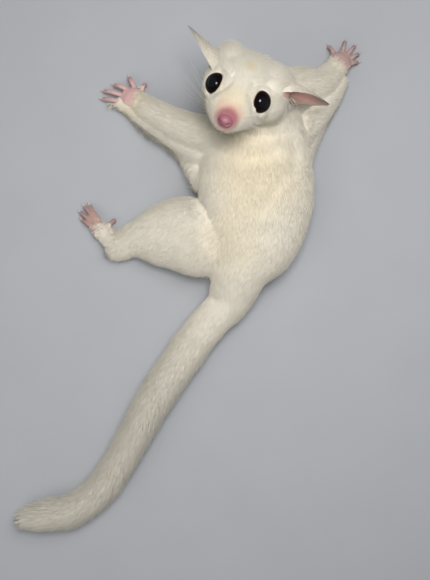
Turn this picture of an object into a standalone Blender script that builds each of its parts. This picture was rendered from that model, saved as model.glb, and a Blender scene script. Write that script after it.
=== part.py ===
"""A life-size sugar glider lying belly down with its head turned back over its left shoulder.

The animal is white-furred with black eyes.  It lies on the plane z = 0, arms and left hind leg
spread, right hind leg folded under the flank, tail drawn out behind.  Each form reaches out to
the tips of the coat.  Tables are in millimetres: x to the animal's right side as it lies, y
towards its shoulders, z up from the floor.
"""

import math

import bmesh
import bpy
import numpy as np
from mathutils import Matrix, Vector

# Driving dimensions, metres.
MM = 0.001
GAP = 0.0003  # clearance between neighbouring pieces
FLOOR_SNAP = 0.00015  # points this low are laid on the floor
BODY_VOXEL = 0.0010
HEAD_VOXEL = 0.0006
HAND_VOXEL = 0.00045
BODY_TRIANGLES = 3400
HEAD_TRIANGLES = 1500
HAND_TRIANGLES = 440
BODY_ROUNDS = 8  # how often a skin is softened
HEAD_ROUNDS = 24
HAND_ROUNDS = 3
TUBE_SIDES = 20

# Rows of a limb or trunk: x, y, z of the centre, half width, half height, all in mm.
TORSO = (
    (6.8, -4.0, 10.5, 10.2, 11.0),
    (11.5, 9.0, 13.5, 15.5, 14.5),
    (17.0, 23.0, 15.5, 23.0, 16.5),
    (19.0, 39.0, 16.5, 27.0, 17.5),
    (19.0, 53.0, 16.5, 27.5, 17.5),
    (20.0, 65.0, 16.0, 25.0, 17.0),
    (21.0, 77.0, 16.5, 21.0, 17.0),
    (19.0, 88.0, 20.0, 16.5, 17.0),
)
NECK = (
    (20.5, 76.0, 17.5, 19.0, 17.0),
    (19.5, 86.0, 21.0, 17.0, 17.0),
    (16.0, 92.0, 27.0, 15.5, 15.0),
)
ARM_LEFT = (
    (8.0, 69.0, 15.0, 12.5, 13.0),
    (-4.5, 71.5, 13.0, 10.5, 11.5),
    (-16.5, 76.3, 10.5, 9.0, 9.5),
    (-26.5, 82.3, 8.0, 7.6, 7.5),
    (-34.0, 87.3, 5.8, 6.6, 5.7),
    (-40.0, 91.0, 4.4, 6.4, 4.4),
)
ARM_RIGHT = (
    (28.0, 89.0, 15.0, 14.0, 13.5),
    (39.0, 92.5, 12.5, 12.2, 11.5),
    (49.0, 96.0, 9.5, 9.0, 9.0),
    (55.5, 103.0, 7.0, 6.6, 6.6),
    (59.5, 108.6, 5.2, 6.0, 5.2),
)
MEMBRANE_LEFT = (
    (-43.5, 86.5, 3.0, 2.8, 3.2),
    (-36.0, 81.5, 3.4, 3.4, 3.8),
    (-29.0, 76.5, 4.0, 4.4, 4.4),
    (-20.0, 71.0, 4.8, 5.0, 5.2),
    (-12.0, 63.0, 6.5, 5.6, 7.0),
    (-5.5, 51.5, 9.5, 6.0, 9.5),
)
MEMBRANE_RIGHT = (
    (60.3, 99.0, 3.8, 3.6, 4.2),
    (53.8, 89.0, 5.2, 5.2, 5.6),
    (47.5, 79.0, 7.0, 6.2, 7.4),
    (42.0, 67.0, 9.0, 6.0, 9.4),
    (38.5, 54.0, 11.5, 6.5, 11.0),
)
LEG_LEFT = (
    (10.0, 25.0, 14.0, 17.0, 14.5),
    (-3.5, 24.8, 13.0, 19.6, 13.5),
    (-15.5, 26.2, 11.0, 18.2, 11.5),
    (-26.5, 25.8, 9.0, 15.0, 9.5),
    (-36.0, 24.5, 7.2, 10.0, 7.5),
    (-44.0, 21.6, 5.5, 8.0, 5.8),
    (-49.5, 22.6, 4.4, 6.2, 4.6),
)
LEG_RIGHT = (
    (20.0, 18.0, 14.0, 12.0, 13.0),
    (30.0, 26.5, 16.0, 11.5, 11.5),
    (36.5, 38.0, 16.5, 9.6, 11.0),
)
ANKLE_RIGHT = (
    (26.0, 20.0, 9.0, 6.0, 6.0),
    (30.5, 19.0, 4.5, 4.4, 4.6),
    (34.5, 24.0, 2.8, 3.8, 3.0),
    (37.5, 31.0, 2.2, 3.8, 2.4),
)
TAIL = (
    (10.5, 2.0, 11.0, 10.5, 11.0),
    (2.2, -9.5, 9.5, 10.0, 9.7),
    (-6.4, -19.6, 9.0, 9.8, 9.2),
    (-14.7, -31.0, 8.8, 9.6, 9.1),
    (-22.7, -42.4, 8.7, 9.5, 9.0),
    (-30.1, -54.1, 8.5, 9.2, 8.9),
    (-36.8, -66.2, 8.4, 8.8, 8.8),
    (-44.1, -79.0, 8.2, 8.5, 8.6),
    (-52.7, -91.9, 8.0, 8.5, 8.4),
    (-65.0, -102.4, 7.7, 8.5, 8.1),
    (-77.5, -105.6, 7.4, 8.2, 7.8),
    (-86.5, -107.0, 6.6, 6.8, 6.8),
)
TAIL_CUTS = (("tail_upper", 3), ("tail_lower", 6), ("tail_tip", 9))  # the row of TAIL where each begins

# The head has its own frame: forward to the nose, left, and up to the crown, from between the eyes.
HEAD_ORIGIN = (9.8, 82.9, 50.0)
HEAD_AZIMUTH = -112.0
HEAD_ELEVATION = 56.5

# Rows of the head: forward, level of the widest line, height above it, depth below it, half width.
SKULL = (
    (17.0, -7.6, 3.4, 4.4, 4.2),
    (13.6, -7.6, 5.2, 6.6, 6.4),
    (9.4, -6.6, 7.6, 9.2, 9.2),
    (5.0, -5.2, 10.2, 11.2, 12.4),
    (0.0, -3.6, 13.0, 13.2, 14.8),
    (-5.0, -2.2, 14.6, 14.4, 16.8),
    (-10.0, -1.4, 15.2, 14.8, 17.6),
    (-16.0, -1.0, 15.0, 14.8, 17.6),
    (-22.0, -1.5, 13.2, 13.8, 16.2),
    (-27.0, -2.0, 9.5, 10.5, 12.5),
)
# Swellings of the head, each a centre and three radii: the left cheek and the root of each ear.
SWELLINGS = (
    ((-12.0, 9.5, -3.5), (12.5, 12.5, 10.5)),
    ((-14.0, 10.5, 3.0), (12.0, 12.0, 10.5)),
    ((-13.0, -7.5, 5.5), (10.0, 9.0, 8.8)),
)

EYE_RADIUS = 4.7
EYE_CENTRE = (0.3, 9.6, -0.1)  # forward, left, up
EYE_LOOKS = (0.80, 0.45, 0.38)  # the left eye's gaze: forward, left, up
LID_THICKNESS = 0.75
LID_OPENING = 4.3  # radius of the opening between the lids

NOSE_CENTRE = (16.9, 0.0, -6.8)
NOSE_RADII = (2.8, 3.4, 2.8)
NOSTRIL_RADIUS = 0.75
NOSTRIL_PLACE = (2.1, 1.75, -0.5)  # forward, sideways and up from the nose's centre

MOUTH_GROOVE = 0.55  # radius of the line cut between the lips
MOUTH_FRONT = 16.0
MOUTH_CORNER = 4.5
MOUTH_TURN = 58.0  # degrees round the muzzle from its underside to a corner

EAR_LENGTH = 23.5
EAR_HALF_WIDTH = 6.6
EAR_WALL = 0.8
EAR_LIFT = 2.0  # how far the tip bends towards the opening
EAR_CURL = (95.0, 45.0)  # degrees from the ear's middle to its edge, at the root and at the tip
# Each ear: root, way to the tip and way that the cup opens; the left one hangs lower.
EAR_LEFT = ((-8.8, 17.5, 2.6), (-0.56, 0.826, 0.05), (0.733, 0.189, -0.654))
EAR_RIGHT = ((-8.9, -13.0, 1.8), (-0.468, -0.733, 0.497), (0.377, -0.386, -0.842))
EAR_ROWS = 13
EAR_COLUMNS = 9

# Digits: base and tip on the floor plan with the height of the knuckle, and the radius, all in mm.
HAND_LEFT_PALM = (-40.6, 91.6, 3.8)
HAND_LEFT_WRIST = (-35.0, 88.0, 5.4)
HAND_LEFT_DIGITS = (
    ((-35.2, 94.8), (-33.4, 98.2), 3.6, 1.5),
    ((-38.2, 96.0), (-41.0, 101.4), 4.2, 1.4),
    ((-42.4, 95.6), (-48.0, 97.8), 4.4, 1.4),
    ((-44.8, 92.8), (-53.0, 95.0), 4.2, 1.4),
    ((-45.2, 89.6), (-53.8, 91.3), 3.8, 1.35),
)
HAND_RIGHT_PALM = (60.0, 108.6, 4.6)
HAND_RIGHT_WRIST = (55.8, 103.4, 6.6)
HAND_RIGHT_DIGITS = (
    ((57.0, 110.6), (54.4, 116.4), 4.6, 1.35),
    ((60.0, 111.4), (62.2, 118.8), 5.2, 1.25),
    ((62.2, 110.8), (66.8, 116.6), 5.4, 1.25),
    ((63.4, 108.8), (68.6, 112.8), 5.2, 1.25),
    ((63.0, 106.6), (68.4, 108.8), 4.6, 1.2),
)
FOOT_LEFT_PALM = (-54.8, 29.0, 3.4)
FOOT_LEFT_WRIST = (-47.5, 22.6, 4.8)
FOOT_LEFT_DIGITS = (
    ((-51.6, 29.6), (-48.0, 33.4), 3.2, 1.5),
    ((-54.6, 32.6), (-60.0, 40.6), 3.6, 1.2),
    ((-56.2, 32.6), (-62.6, 40.0), 3.6, 1.2),
    ((-57.6, 31.6), (-64.4, 37.2), 3.6, 1.3),
    ((-58.0, 29.6), (-63.6, 33.6), 3.4, 1.25),
)
FOOT_RIGHT_PALM = (37.6, 32.0, 2.3)
FOOT_RIGHT_WRIST = (34.2, 23.5, 2.4)
FOOT_RIGHT_DIGITS = (
    ((35.0, 34.6), (33.4, 38.6), 2.2, 1.3),
    ((37.0, 36.4), (37.6, 44.2), 2.4, 1.1),
    ((38.6, 36.2), (40.0, 44.6), 2.4, 1.1),
    ((40.0, 35.4), (42.4, 43.0), 2.4, 1.2),
    ((41.0, 33.6), (44.2, 40.0), 2.2, 1.15),
)
CLAW_LENGTH = 2.3
CLAW_RADIUS = 0.5
CLAW_ROOT = 0.6  # how deep a claw starts inside its digit
CLAW_ARCH = 0.75
PALM_HALF = 5.6
FOOT_HALF = 4.3
TIP_HEIGHT = 1.1  # centre of a finger tip above the floor

# Where the hands, feet and tail part from the body, and the way they lead from it.
HAND_BOX = 16.0  # half size of the box that takes a hand's place out of the body
FOOT_BOX = 18.0
TAIL_BOX = 14.0
END_REACH = 40.0  # a hand or foot is kept this far beyond its joint
TAIL_REACH = 140.0
LEFT_HAND_AWAY = (-0.85, 0.52, 0)
RIGHT_HAND_AWAY = (0.65, 0.76, 0)
LEFT_FOOT_AWAY = (-0.80, 0.60, 0)
RIGHT_FOOT_AWAY = (0.35, 1.0, 0)
FOOT_ROOM = (14.0, 5.3, 6.5)  # half length, height and half width of the space under the flank
TAIL_ROOT = (5.0, -6.0, 10.0)
TAIL_AWAY = (-0.6, -0.8, 0)

# The head is the part of its tube in front of the back plane and above the throat plane.
HEAD_BACK = -19.0
HEAD_THROAT = -15.5
HEAD_HALF = 30.0

# Limbs are cut off in boxes: name, centre, outward, upward, half sizes, mm.
UP = (0, 0, 1)
LIMB_BOXES = (
    ("membrane_left", (-27.7, 67.2, 10), (0.70, -0.71, 0), (-0.71, -0.70, 0), (23.5, 5.5, 20)),
    ("membrane_right", (53.7, 78.5, 10), (-0.40, -0.915, 0), (0.915, -0.40, 0), (21, 7.2, 20)),
    ("forearm_left", (-43.0, 91.0, 10), (-0.86, 0.50, 0), UP, (25, 25, 26)),
    ("arm_left", (-33.0, 88.0, 10), (-0.90, 0.42, 0), UP, (25, 25, 26)),
    ("forearm_right", (61.5, 110.0, 10), (0.68, 0.73, 0), UP, (16, 25, 26)),
    ("arm_right", (53.0, 98.5, 10), (0.74, 0.67, 0), UP, (16, 18, 26)),
    ("shin_left", (-56.0, 26.0, 10), (-1.0, 0, 0), UP, (25, 25, 26)),
    ("leg_left", (-32.0, 26.0, 10), (-1.0, 0, 0), UP, (25, 22, 25)),
    ("leg_right", (47.5, 26.0, 16), (0.92, -0.38, 0), UP, (16, 26, 18)),
)
# The trunk is parted by planes: name of what lies beyond, point, direction.
TRUNK_PLANES = (
    ("neck", (20.5, 79.5, 17), (0.0, 0.86, 0.50)),
    ("rump", (14.0, 13.0, 0), (-0.25, -1.0, 0)),
    ("loin", (19.0, 40.0, 0), (0, -1.0, 0)),
)

FUR = (0.86, 0.80, 0.66, 1.0)
PINK = (0.80, 0.42, 0.38, 1.0)
EAR_SKIN = (0.52, 0.38, 0.33, 1.0)
BLACK = (0.008, 0.007, 0.010, 1.0)


def clear_scene():
    for obj in list(bpy.data.objects):
        bpy.data.objects.remove(obj, do_unlink=True)


def finish(name, colour, roughness):
    material = bpy.data.materials.new(name)
    material.use_nodes = True
    shader = material.node_tree.nodes["Principled BSDF"]
    shader.inputs["Base Color"].default_value = colour
    shader.inputs["Roughness"].default_value = roughness
    shader.inputs["Metallic"].default_value = 0.0
    return material


def new_object(name, points, faces):
    """An object from points in metres."""
    mesh = bpy.data.meshes.new(name)
    mesh.from_pydata([tuple(point) for point in points], [], [tuple(face) for face in faces])
    mesh.validate()
    obj = bpy.data.objects.new(name, mesh)
    bpy.context.scene.collection.objects.link(obj)
    return obj


def apply_modifiers(obj):
    graph = bpy.context.evaluated_depsgraph_get()
    mesh = bpy.data.meshes.new_from_object(obj.evaluated_get(graph))
    obj.modifiers.clear()
    obj.data = mesh
    return obj


def smooth_curve(rows, count):
    """Even steps along a Catmull-Rom curve through the rows."""
    rows = np.asarray(rows, float)
    padded = np.vstack([2 * rows[0] - rows[1], rows, 2 * rows[-1] - rows[-2]])
    t = np.linspace(0.0, len(rows) - 1.0, count)
    i = np.minimum(t.astype(int), len(rows) - 2)
    u = (t - i)[:, None]
    a, b, c, d = padded[i], padded[i + 1], padded[i + 2], padded[i + 3]
    cubic = (3 * b - 3 * c + d - a) * u**3
    square = (2 * a - 5 * b + 4 * c - d) * u**2
    return 0.5 * (2 * b + (c - a) * u + square + cubic)


def closed_rings(rings, first, last):
    """Points and faces of a tube of rings, closed by a pole at each end."""
    count, sides, _ = rings.shape
    points = np.vstack([rings.reshape(-1, 3), first, last])
    faces = []
    for r in range(count - 1):
        for s in range(sides):
            after = (s + 1) % sides
            faces.append((r * sides + s, r * sides + after, (r + 1) * sides + after, (r + 1) * sides + s))
    for s in range(sides):
        after = (s + 1) % sides
        faces.append((count * sides, after, s))
        faces.append((count * sides + 1, (count - 1) * sides + s, (count - 1) * sides + after))
    return points, faces


def face_outwards(obj):
    shape = bmesh.new()
    shape.from_mesh(obj.data)
    bmesh.ops.recalc_face_normals(shape, faces=shape.faces)
    shape.to_mesh(obj.data)
    shape.free()
    return obj


def tube(name, rows, steps=6, sides=TUBE_SIDES, cap=0.9):
    """A limb: oval rings along a smooth curve through the rows, with a rounded end at each side."""
    line = smooth_curve(rows, (len(rows) - 1) * steps + 1) * MM
    centre, radii = line[:, :3], line[:, 3:5]
    along = np.gradient(centre, axis=0)
    along /= np.linalg.norm(along, axis=1, keepdims=True)
    aside = np.cross(along, (0.0, 0.0, 1.0))
    aside /= np.linalg.norm(aside, axis=1, keepdims=True)
    upward = np.cross(aside, along)
    swell = [math.radians(a) for a in (25, 50, 70)]
    rings = []
    angle = np.linspace(0, 2 * math.pi, sides, endpoint=False)[:, None]

    def ring(i, size, shift):
        oval = np.cos(angle) * aside[i] * radii[i, 0] + np.sin(angle) * upward[i] * radii[i, 1]
        return centre[i] + along[i] * shift + oval * size

    reach = cap * radii.min(axis=1)
    for a in swell:
        rings.append(ring(0, math.sin(a), -reach[0] * math.cos(a)))
    for i in range(len(line)):
        rings.append(ring(i, 1.0, 0.0))
    for a in reversed(swell):
        rings.append(ring(-1, math.sin(a), reach[-1] * math.cos(a)))
    first = centre[0] - along[0] * reach[0]
    last = centre[-1] + along[-1] * reach[-1]
    points, faces = closed_rings(np.array(rings), first, last)
    return face_outwards(new_object(name, points, faces))


def head_frame():
    """The head's axes as columns, forward, left and up, placed between the eyes."""
    azimuth, elevation = math.radians(HEAD_AZIMUTH), math.radians(HEAD_ELEVATION)
    forward = Vector((
        math.cos(elevation) * math.cos(azimuth),
        math.cos(elevation) * math.sin(azimuth),
        math.sin(elevation),
    ))
    up = (Vector((0, 0, 1)) - forward * forward.z).normalized()
    left = up.cross(forward)
    frame = Matrix((forward, left, up)).transposed().to_4x4()
    frame.translation = Vector(HEAD_ORIGIN) * MM
    return frame


def in_head(points):
    """World points, metres, of points given in mm in the head's frame."""
    frame = np.array(head_frame())
    return np.asarray(points, float) * MM @ frame[:3, :3].T + frame[:3, 3]


def skull_point(forward, turn):
    """A point of the head's surface: turn 0 is the animal's left, a quarter turn the crown."""
    rows = np.array(SKULL)[::-1]
    level, above, below, half = (np.interp(forward, rows[:, 0], rows[:, c]) for c in range(1, 5))
    height = np.where(np.sin(turn) > 0, above, below)
    ahead = np.broadcast_to(forward, np.shape(turn))
    return np.stack([ahead, half * np.cos(turn), level + height * np.sin(turn)], axis=-1)


def skull_solid():
    rows = smooth_curve(SKULL, (len(SKULL) - 1) * 5 + 1)
    turn = np.linspace(0, 2 * math.pi, 28, endpoint=False)
    rings = []
    for forward, level, above, below, half in rows:
        height = np.where(np.sin(turn) > 0, above, below)
        ahead = np.full_like(turn, forward)
        rings.append(np.stack([ahead, half * np.cos(turn), level + height * np.sin(turn)], axis=1))
    front, back = rows[0], rows[-1]
    points, faces = closed_rings(
        np.array(rings), (front[0] + 1.6, 0.0, front[1]), (back[0] - 3.0, 0.0, back[1])
    )
    return face_outwards(new_object("skull", in_head(points), faces))


def ball(name, centre, radii, segments=24, rings=16, turn=None):
    """An ellipsoid in world metres, turned by a 3 by 3 matrix."""
    mesh = bpy.data.meshes.new(name)
    shape = bmesh.new()
    bmesh.ops.create_uvsphere(shape, u_segments=segments, v_segments=rings, radius=1.0)
    place = Matrix.Diagonal((*radii, 1.0))
    if turn is not None:
        place = turn.to_4x4() @ place
    place = Matrix.Translation(centre) @ place
    bmesh.ops.transform(shape, matrix=place, verts=shape.verts)
    shape.to_mesh(mesh)
    shape.free()
    obj = bpy.data.objects.new(name, mesh)
    bpy.context.scene.collection.objects.link(obj)
    return obj


def rod(name, path, radii, sides=8, blunt=True):
    """A round rod through points in metres, with its own radius at each point."""
    path = np.asarray(path, float)
    radii = np.asarray(radii, float)
    along = np.gradient(path, axis=0)
    along /= np.linalg.norm(along, axis=1, keepdims=True)
    guide = np.array((0.0, 0.0, 1.0)) if abs(along[0, 2]) < 0.9 else np.array((1.0, 0.0, 0.0))
    aside = np.cross(along, guide)
    aside /= np.linalg.norm(aside, axis=1, keepdims=True)
    upward = np.cross(aside, along)
    angle = np.linspace(0, 2 * math.pi, sides, endpoint=False)[None, :, None]
    circle = np.cos(angle) * aside[:, None] + np.sin(angle) * upward[:, None]
    rings = path[:, None] + circle * radii[:, None, None]
    push = radii[-1] * (0.8 if blunt else 1.6)
    points, faces = closed_rings(rings, path[0] - along[0] * radii[0] * 0.5, path[-1] + along[-1] * push)
    return face_outwards(new_object(name, points, faces))


def joined(name, pieces):
    """The pieces' meshes in one object; the pieces are removed."""
    shape = bmesh.new()
    for piece in pieces:
        shape.from_mesh(piece.data)
        bpy.data.objects.remove(piece, do_unlink=True)
    mesh = bpy.data.meshes.new(name)
    shape.to_mesh(mesh)
    shape.free()
    obj = bpy.data.objects.new(name, mesh)
    bpy.context.scene.collection.objects.link(obj)
    return obj


def keep_largest(obj):
    """Only the closed surface that holds the most volume stays."""
    shape = bmesh.new()
    shape.from_mesh(obj.data)
    left = set(shape.faces)
    surfaces = []
    while left:
        front = [left.pop()]
        surface = list(front)
        while front:
            face = front.pop()
            for edge in face.edges:
                for other in edge.link_faces:
                    if other in left:
                        left.remove(other)
                        front.append(other)
                        surface.append(other)
        surfaces.append(surface)

    def volume(surface):
        total = 0.0
        for face in surface:
            corners = [vert.co for vert in face.verts]
            for i in range(1, len(corners) - 1):
                total += corners[0].dot(corners[i].cross(corners[i + 1]))
        return abs(total)

    surfaces.sort(key=volume)
    scraps = [face for surface in surfaces[:-1] for face in surface]
    bmesh.ops.delete(shape, geom=scraps, context="FACES")
    shape.to_mesh(obj.data)
    shape.free()
    return obj


def fused(name, pieces, voxel, triangles, rounds):
    """One skin round the pieces, softened and thinned to about so many triangles."""
    obj = joined(name, pieces)
    remesh = obj.modifiers.new("skin", "REMESH")
    remesh.mode = "VOXEL"
    remesh.voxel_size = voxel
    soften = obj.modifiers.new("soften", "SMOOTH")
    soften.factor = 0.5
    soften.iterations = rounds
    apply_modifiers(obj)
    keep_largest(obj)
    settle(obj, 0.0)
    faces = sum(len(face.vertices) - 2 for face in obj.data.polygons)
    thin = obj.modifiers.new("thin", "DECIMATE")
    thin.ratio = min(1.0, triangles / faces)
    apply_modifiers(obj)
    settle(obj, FLOOR_SNAP)
    return keep_largest(obj)


def settle(obj, within):
    """Points below the floor, or nearly on it, are laid on it."""
    points = np.empty(len(obj.data.vertices) * 3)
    obj.data.vertices.foreach_get("co", points)
    height = points[2::3]
    height[height < within] = 0.0
    obj.data.vertices.foreach_set("co", points)
    obj.data.update()


def combine(obj, other, operation):
    """The Boolean of two closed objects, applied."""
    modifier = obj.modifiers.new(operation, "BOOLEAN")
    modifier.operation = operation
    modifier.solver = "EXACT"
    modifier.object = other
    apply_modifiers(obj)
    bpy.data.objects.remove(other, do_unlink=True)
    return keep_largest(obj)


def block(centre, along, aside, half, grow=0.0):
    """A box in world metres: two of its directions, and half its size along each of the three."""
    along = Vector(along).normalized()
    aside = (Vector(aside) - along * Vector(aside).dot(along)).normalized()
    upward = along.cross(aside)
    mesh = bpy.data.meshes.new("block")
    shape = bmesh.new()
    bmesh.ops.create_cube(shape, size=2.0)
    turn = Matrix((along, aside, upward)).transposed().to_4x4()
    size = Matrix.Diagonal((*[h * MM + grow for h in half], 1.0))
    place = Matrix.Translation(Vector(centre) * MM) @ turn @ size
    bmesh.ops.transform(shape, matrix=place, verts=shape.verts)
    shape.to_mesh(mesh)
    shape.free()
    obj = bpy.data.objects.new("block", mesh)
    bpy.context.scene.collection.objects.link(obj)
    return obj


def copy_of(obj, name):
    twin = bpy.data.objects.new(name, obj.data.copy())
    bpy.context.scene.collection.objects.link(twin)
    return twin


def part_off(obj, name, centre, along, aside, half):
    """Cuts the piece inside a box off the object, with the gap left on the object's side."""
    piece = combine(copy_of(obj, name), block(centre, along, aside, half), "INTERSECT")
    combine(obj, block(centre, along, aside, half, GAP), "DIFFERENCE")
    return piece


def slice_off(obj, name, point, normal, reach=200.0):
    """Cuts off all that lies beyond a plane through the point, on the side that the normal shows."""
    normal = Vector(normal).normalized()
    guide = Vector((0, 0, 1)) if abs(normal.z) < 0.9 else Vector((1, 0, 0))
    centre = Vector(point) + normal * reach
    return part_off(obj, name, centre, normal, guide, (reach, reach, reach))


def grown(obj, name, amount):
    """The object with its surface moved out by the amount."""
    twin = copy_of(obj, name)
    swell = twin.modifiers.new("swell", "DISPLACE")
    swell.mid_level = 0.0
    swell.strength = amount
    return apply_modifiers(twin)


def digit(name, palm, row):
    """A finger or toe: a rod from inside the palm over its knuckle to a padded tip on the floor."""
    base, tip, knuckle, radius = row
    base = np.array((*base, palm[2]))
    tip = np.array((*tip, TIP_HEIGHT))
    middle = base * 0.45 + tip * 0.55
    middle[2] = knuckle
    inside = np.array(palm) * 0.5 + base * 0.5
    path = smooth_curve((inside, base, middle, tip), 13)
    share = np.linspace(0, 1, 13)
    pad = 1.0 - 0.22 * share + 0.16 * np.exp(-(((share - 0.92) / 0.09) ** 2))
    joint = 0.10 * np.exp(-(((share - 0.62) / 0.07) ** 2))
    return rod(name, path * MM, radius * (pad + joint) * MM, sides=10)


def claw(name, row):
    """A short curved claw that starts inside the tip of its digit and ends just above the floor."""
    base, tip, _, _ = row
    base = np.array((*base, TIP_HEIGHT))
    tip = np.array((*tip, TIP_HEIGHT))
    along = (tip - base) / np.linalg.norm(tip - base)
    share = np.linspace(0, 1, 4)[:, None]
    path = tip + along * (share * CLAW_LENGTH - CLAW_ROOT)
    path[:, 2] = TIP_HEIGHT + CLAW_ARCH * (np.sin(share[:, 0] * 2.4) - share[:, 0] ** 2)
    radii = CLAW_RADIUS * (1.0 - 0.72 * share[:, 0])
    return rod(name, path * MM, radii * MM, sides=5, blunt=False)


def extremity(name, palm, wrist, digits, away):
    """A hand or foot: palm, digits and claws in one piece, cut square at the wrist.

    The first digit of a hind foot has no claw.
    """
    is_hand = name.startswith("hand")
    half = PALM_HALF if is_hand else FOOT_HALF
    palm_at = np.array(palm)
    wrist_at = np.array(wrist)
    reach = palm_at - wrist_at
    body = [
        tube("palm", (
            (*(wrist_at - reach * 0.35), half * 1.15, wrist[2] * 1.02),
            (*wrist_at, half * 1.05, wrist[2] * 0.98),
            (*(wrist_at + reach * 0.6), half, palm[2] * 0.98),
            (*palm_at, half, palm[2] * 0.92),
            (*(palm_at + reach * 0.28), half * 0.8, palm[2] * 0.74),
        ))
    ]
    for number, row in enumerate(digits):
        body.append(digit(f"digit_{number}", palm, row))
    obj = fused(name, body, HAND_VOXEL, HAND_TRIANGLES, HAND_ROUNDS)
    for number, row in enumerate(digits):
        if number > 0 or is_hand:
            combine(obj, claw(f"claw_{number}", row), "UNION")
    return keep_beyond(obj, wrist_at, away, END_REACH)


def ear(name, place, head):
    """A thin cupped leaf on the side of the head, trimmed where it meets the skin of the head.

    Across the ear the section is an arc.  Its half width grows from the root, is widest a third
    of the way out and comes to a rounded point; the arc opens as it goes.
    """
    root, axis, opening = (np.array(v) for v in place)
    axis /= np.linalg.norm(axis)
    opening -= axis * opening.dot(axis)
    opening /= np.linalg.norm(opening)
    across = np.cross(axis, opening)
    share = np.linspace(0.0, 1.0, EAR_ROWS)[:, None]
    aside = np.linspace(-1.0, 1.0, EAR_COLUMNS)[None, :]
    half = EAR_HALF_WIDTH * (0.10 + 0.90 * np.sin(math.pi * (0.16 + 0.84 * share) ** 0.72) ** 0.8)
    arc = np.radians(EAR_CURL[0] + (EAR_CURL[1] - EAR_CURL[0]) * share)
    radius = half / np.sin(arc)
    bend = aside * arc

    def leaf(inset):
        wide = (radius - inset) * np.sin(bend)
        deep = -(radius - inset) * (np.cos(bend) - np.cos(arc))
        lift = EAR_LIFT * share * share
        line = root + axis * EAR_LENGTH * share[..., None]
        return line + across * wide[..., None] + opening * (deep + lift)[..., None]

    outer = leaf(0.0).reshape(-1, 3)
    inner = leaf(EAR_WALL).reshape(-1, 3)
    count = EAR_ROWS * EAR_COLUMNS
    index = np.arange(count).reshape(EAR_ROWS, EAR_COLUMNS)
    faces = []
    for r in range(EAR_ROWS - 1):
        for c in range(EAR_COLUMNS - 1):
            a, b, d, e = index[r, c], index[r, c + 1], index[r + 1, c + 1], index[r + 1, c]
            faces += [(a, b, d), (a, d, e)]
            faces += [(count + a, count + d, count + b), (count + a, count + e, count + d)]
    rim = list(index[0, :]) + list(index[1:, -1]) + list(index[-1, -2::-1]) + list(index[-2:0:-1, 0])
    for a, b in zip(rim, rim[1:] + rim[:1]):
        faces += [(b, a, count + a), (b, count + a, count + b)]
    obj = face_outwards(new_object(name, in_head(np.vstack([outer, inner])), faces))
    return combine(obj, grown(head, "grown_head", GAP), "DIFFERENCE")


def eye_place(side):
    """The eyeball's centre and the way it looks, in world metres."""
    centre = Vector(in_head([EYE_CENTRE[0], EYE_CENTRE[1] * side, EYE_CENTRE[2]]))
    looks = head_frame().to_3x3() @ Vector((EYE_LOOKS[0], EYE_LOOKS[1] * side, EYE_LOOKS[2]))
    return centre, looks.normalized()


def add_lids(head, side):
    """A raised rim of skin round the eye, and the socket that the eyeball sits in."""
    centre, looks = eye_place(side)
    radius = EYE_RADIUS * MM
    mound = ball("mound", centre, [radius + GAP + LID_THICKNESS * MM] * 3, 18, 12)
    combine(head, mound, "UNION")
    ends = [centre + looks * radius * share for share in (0.2, 0.7, 1.2, 1.7)]
    window = rod("window", ends, [LID_OPENING * MM] * 4, sides=18)
    combine(head, window, "DIFFERENCE")
    return combine(head, ball("socket", centre, [radius + GAP] * 3, 18, 12), "DIFFERENCE")


def add_mouth(head):
    """The line of the mouth, cut round the muzzle from one corner to the other."""
    share = np.linspace(-1, 1, 19)
    forward = MOUTH_FRONT - (MOUTH_FRONT - MOUTH_CORNER) * np.abs(share) ** 1.7
    turn = -math.pi / 2 + np.radians(MOUTH_TURN) * share
    line = in_head([skull_point(f, t) for f, t in zip(forward, turn)])
    groove = rod("groove", line, [MOUTH_GROOVE * MM] * len(line), sides=6)
    return combine(head, groove, "DIFFERENCE")


def nose_solid(head):
    """The bare nose with its two nostrils, seated in the front of the muzzle."""
    turn = head_frame().to_3x3()
    centre = Vector(in_head(NOSE_CENTRE))
    radii = [r * MM for r in NOSE_RADII]
    seat = ball("seat", centre, [r + GAP for r in radii], 16, 10, turn)
    combine(head, seat, "DIFFERENCE")
    nose = ball("nose", centre, radii, 16, 10, turn)
    for side in (1, -1):
        place = np.array(NOSE_CENTRE) + np.array(NOSTRIL_PLACE) * (1, side, 1)
        pit = ball("pit", Vector(in_head(place)), [NOSTRIL_RADIUS * MM] * 3, 8, 6)
        combine(nose, pit, "DIFFERENCE")
    return nose


def skull_pieces():
    """The head's own form with the swellings of its cheek and of the root of each ear."""
    pieces = [skull_solid()]
    for centre, radii in SWELLINGS:
        radii = [radius * MM for radius in radii]
        pieces.append(ball("swelling", Vector(in_head(centre)), radii, 18, 12, head_frame().to_3x3()))
    return pieces


def build_head():
    """Head, ears, eyes and nose."""
    head = fused("head", skull_pieces(), HEAD_VOXEL, HEAD_TRIANGLES, HEAD_ROUNDS)
    head = combine(head, head_block(0.0), "INTERSECT")
    for side in (1, -1):
        add_lids(head, side)
    add_mouth(head)
    nose = nose_solid(head)
    eyes = []
    for name, side in (("eye_left", 1), ("eye_right", -1)):
        eyes.append(ball(name, eye_place(side)[0], [EYE_RADIUS * MM] * 3, 20, 12))
    ears = [ear("ear_left", EAR_LEFT, head), ear("ear_right", EAR_RIGHT, head)]
    return head, nose, eyes, ears


def head_block(grow):
    """The box that holds the head: in front of its back plane and above its throat plane."""
    centre = in_head((HEAD_BACK + HEAD_HALF, 0.0, HEAD_THROAT + HEAD_HALF)) / MM
    frame = head_frame().to_3x3()
    half = (HEAD_HALF, HEAD_HALF, HEAD_HALF)
    return block(centre, frame.col[0], frame.col[1], half, grow)


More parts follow.
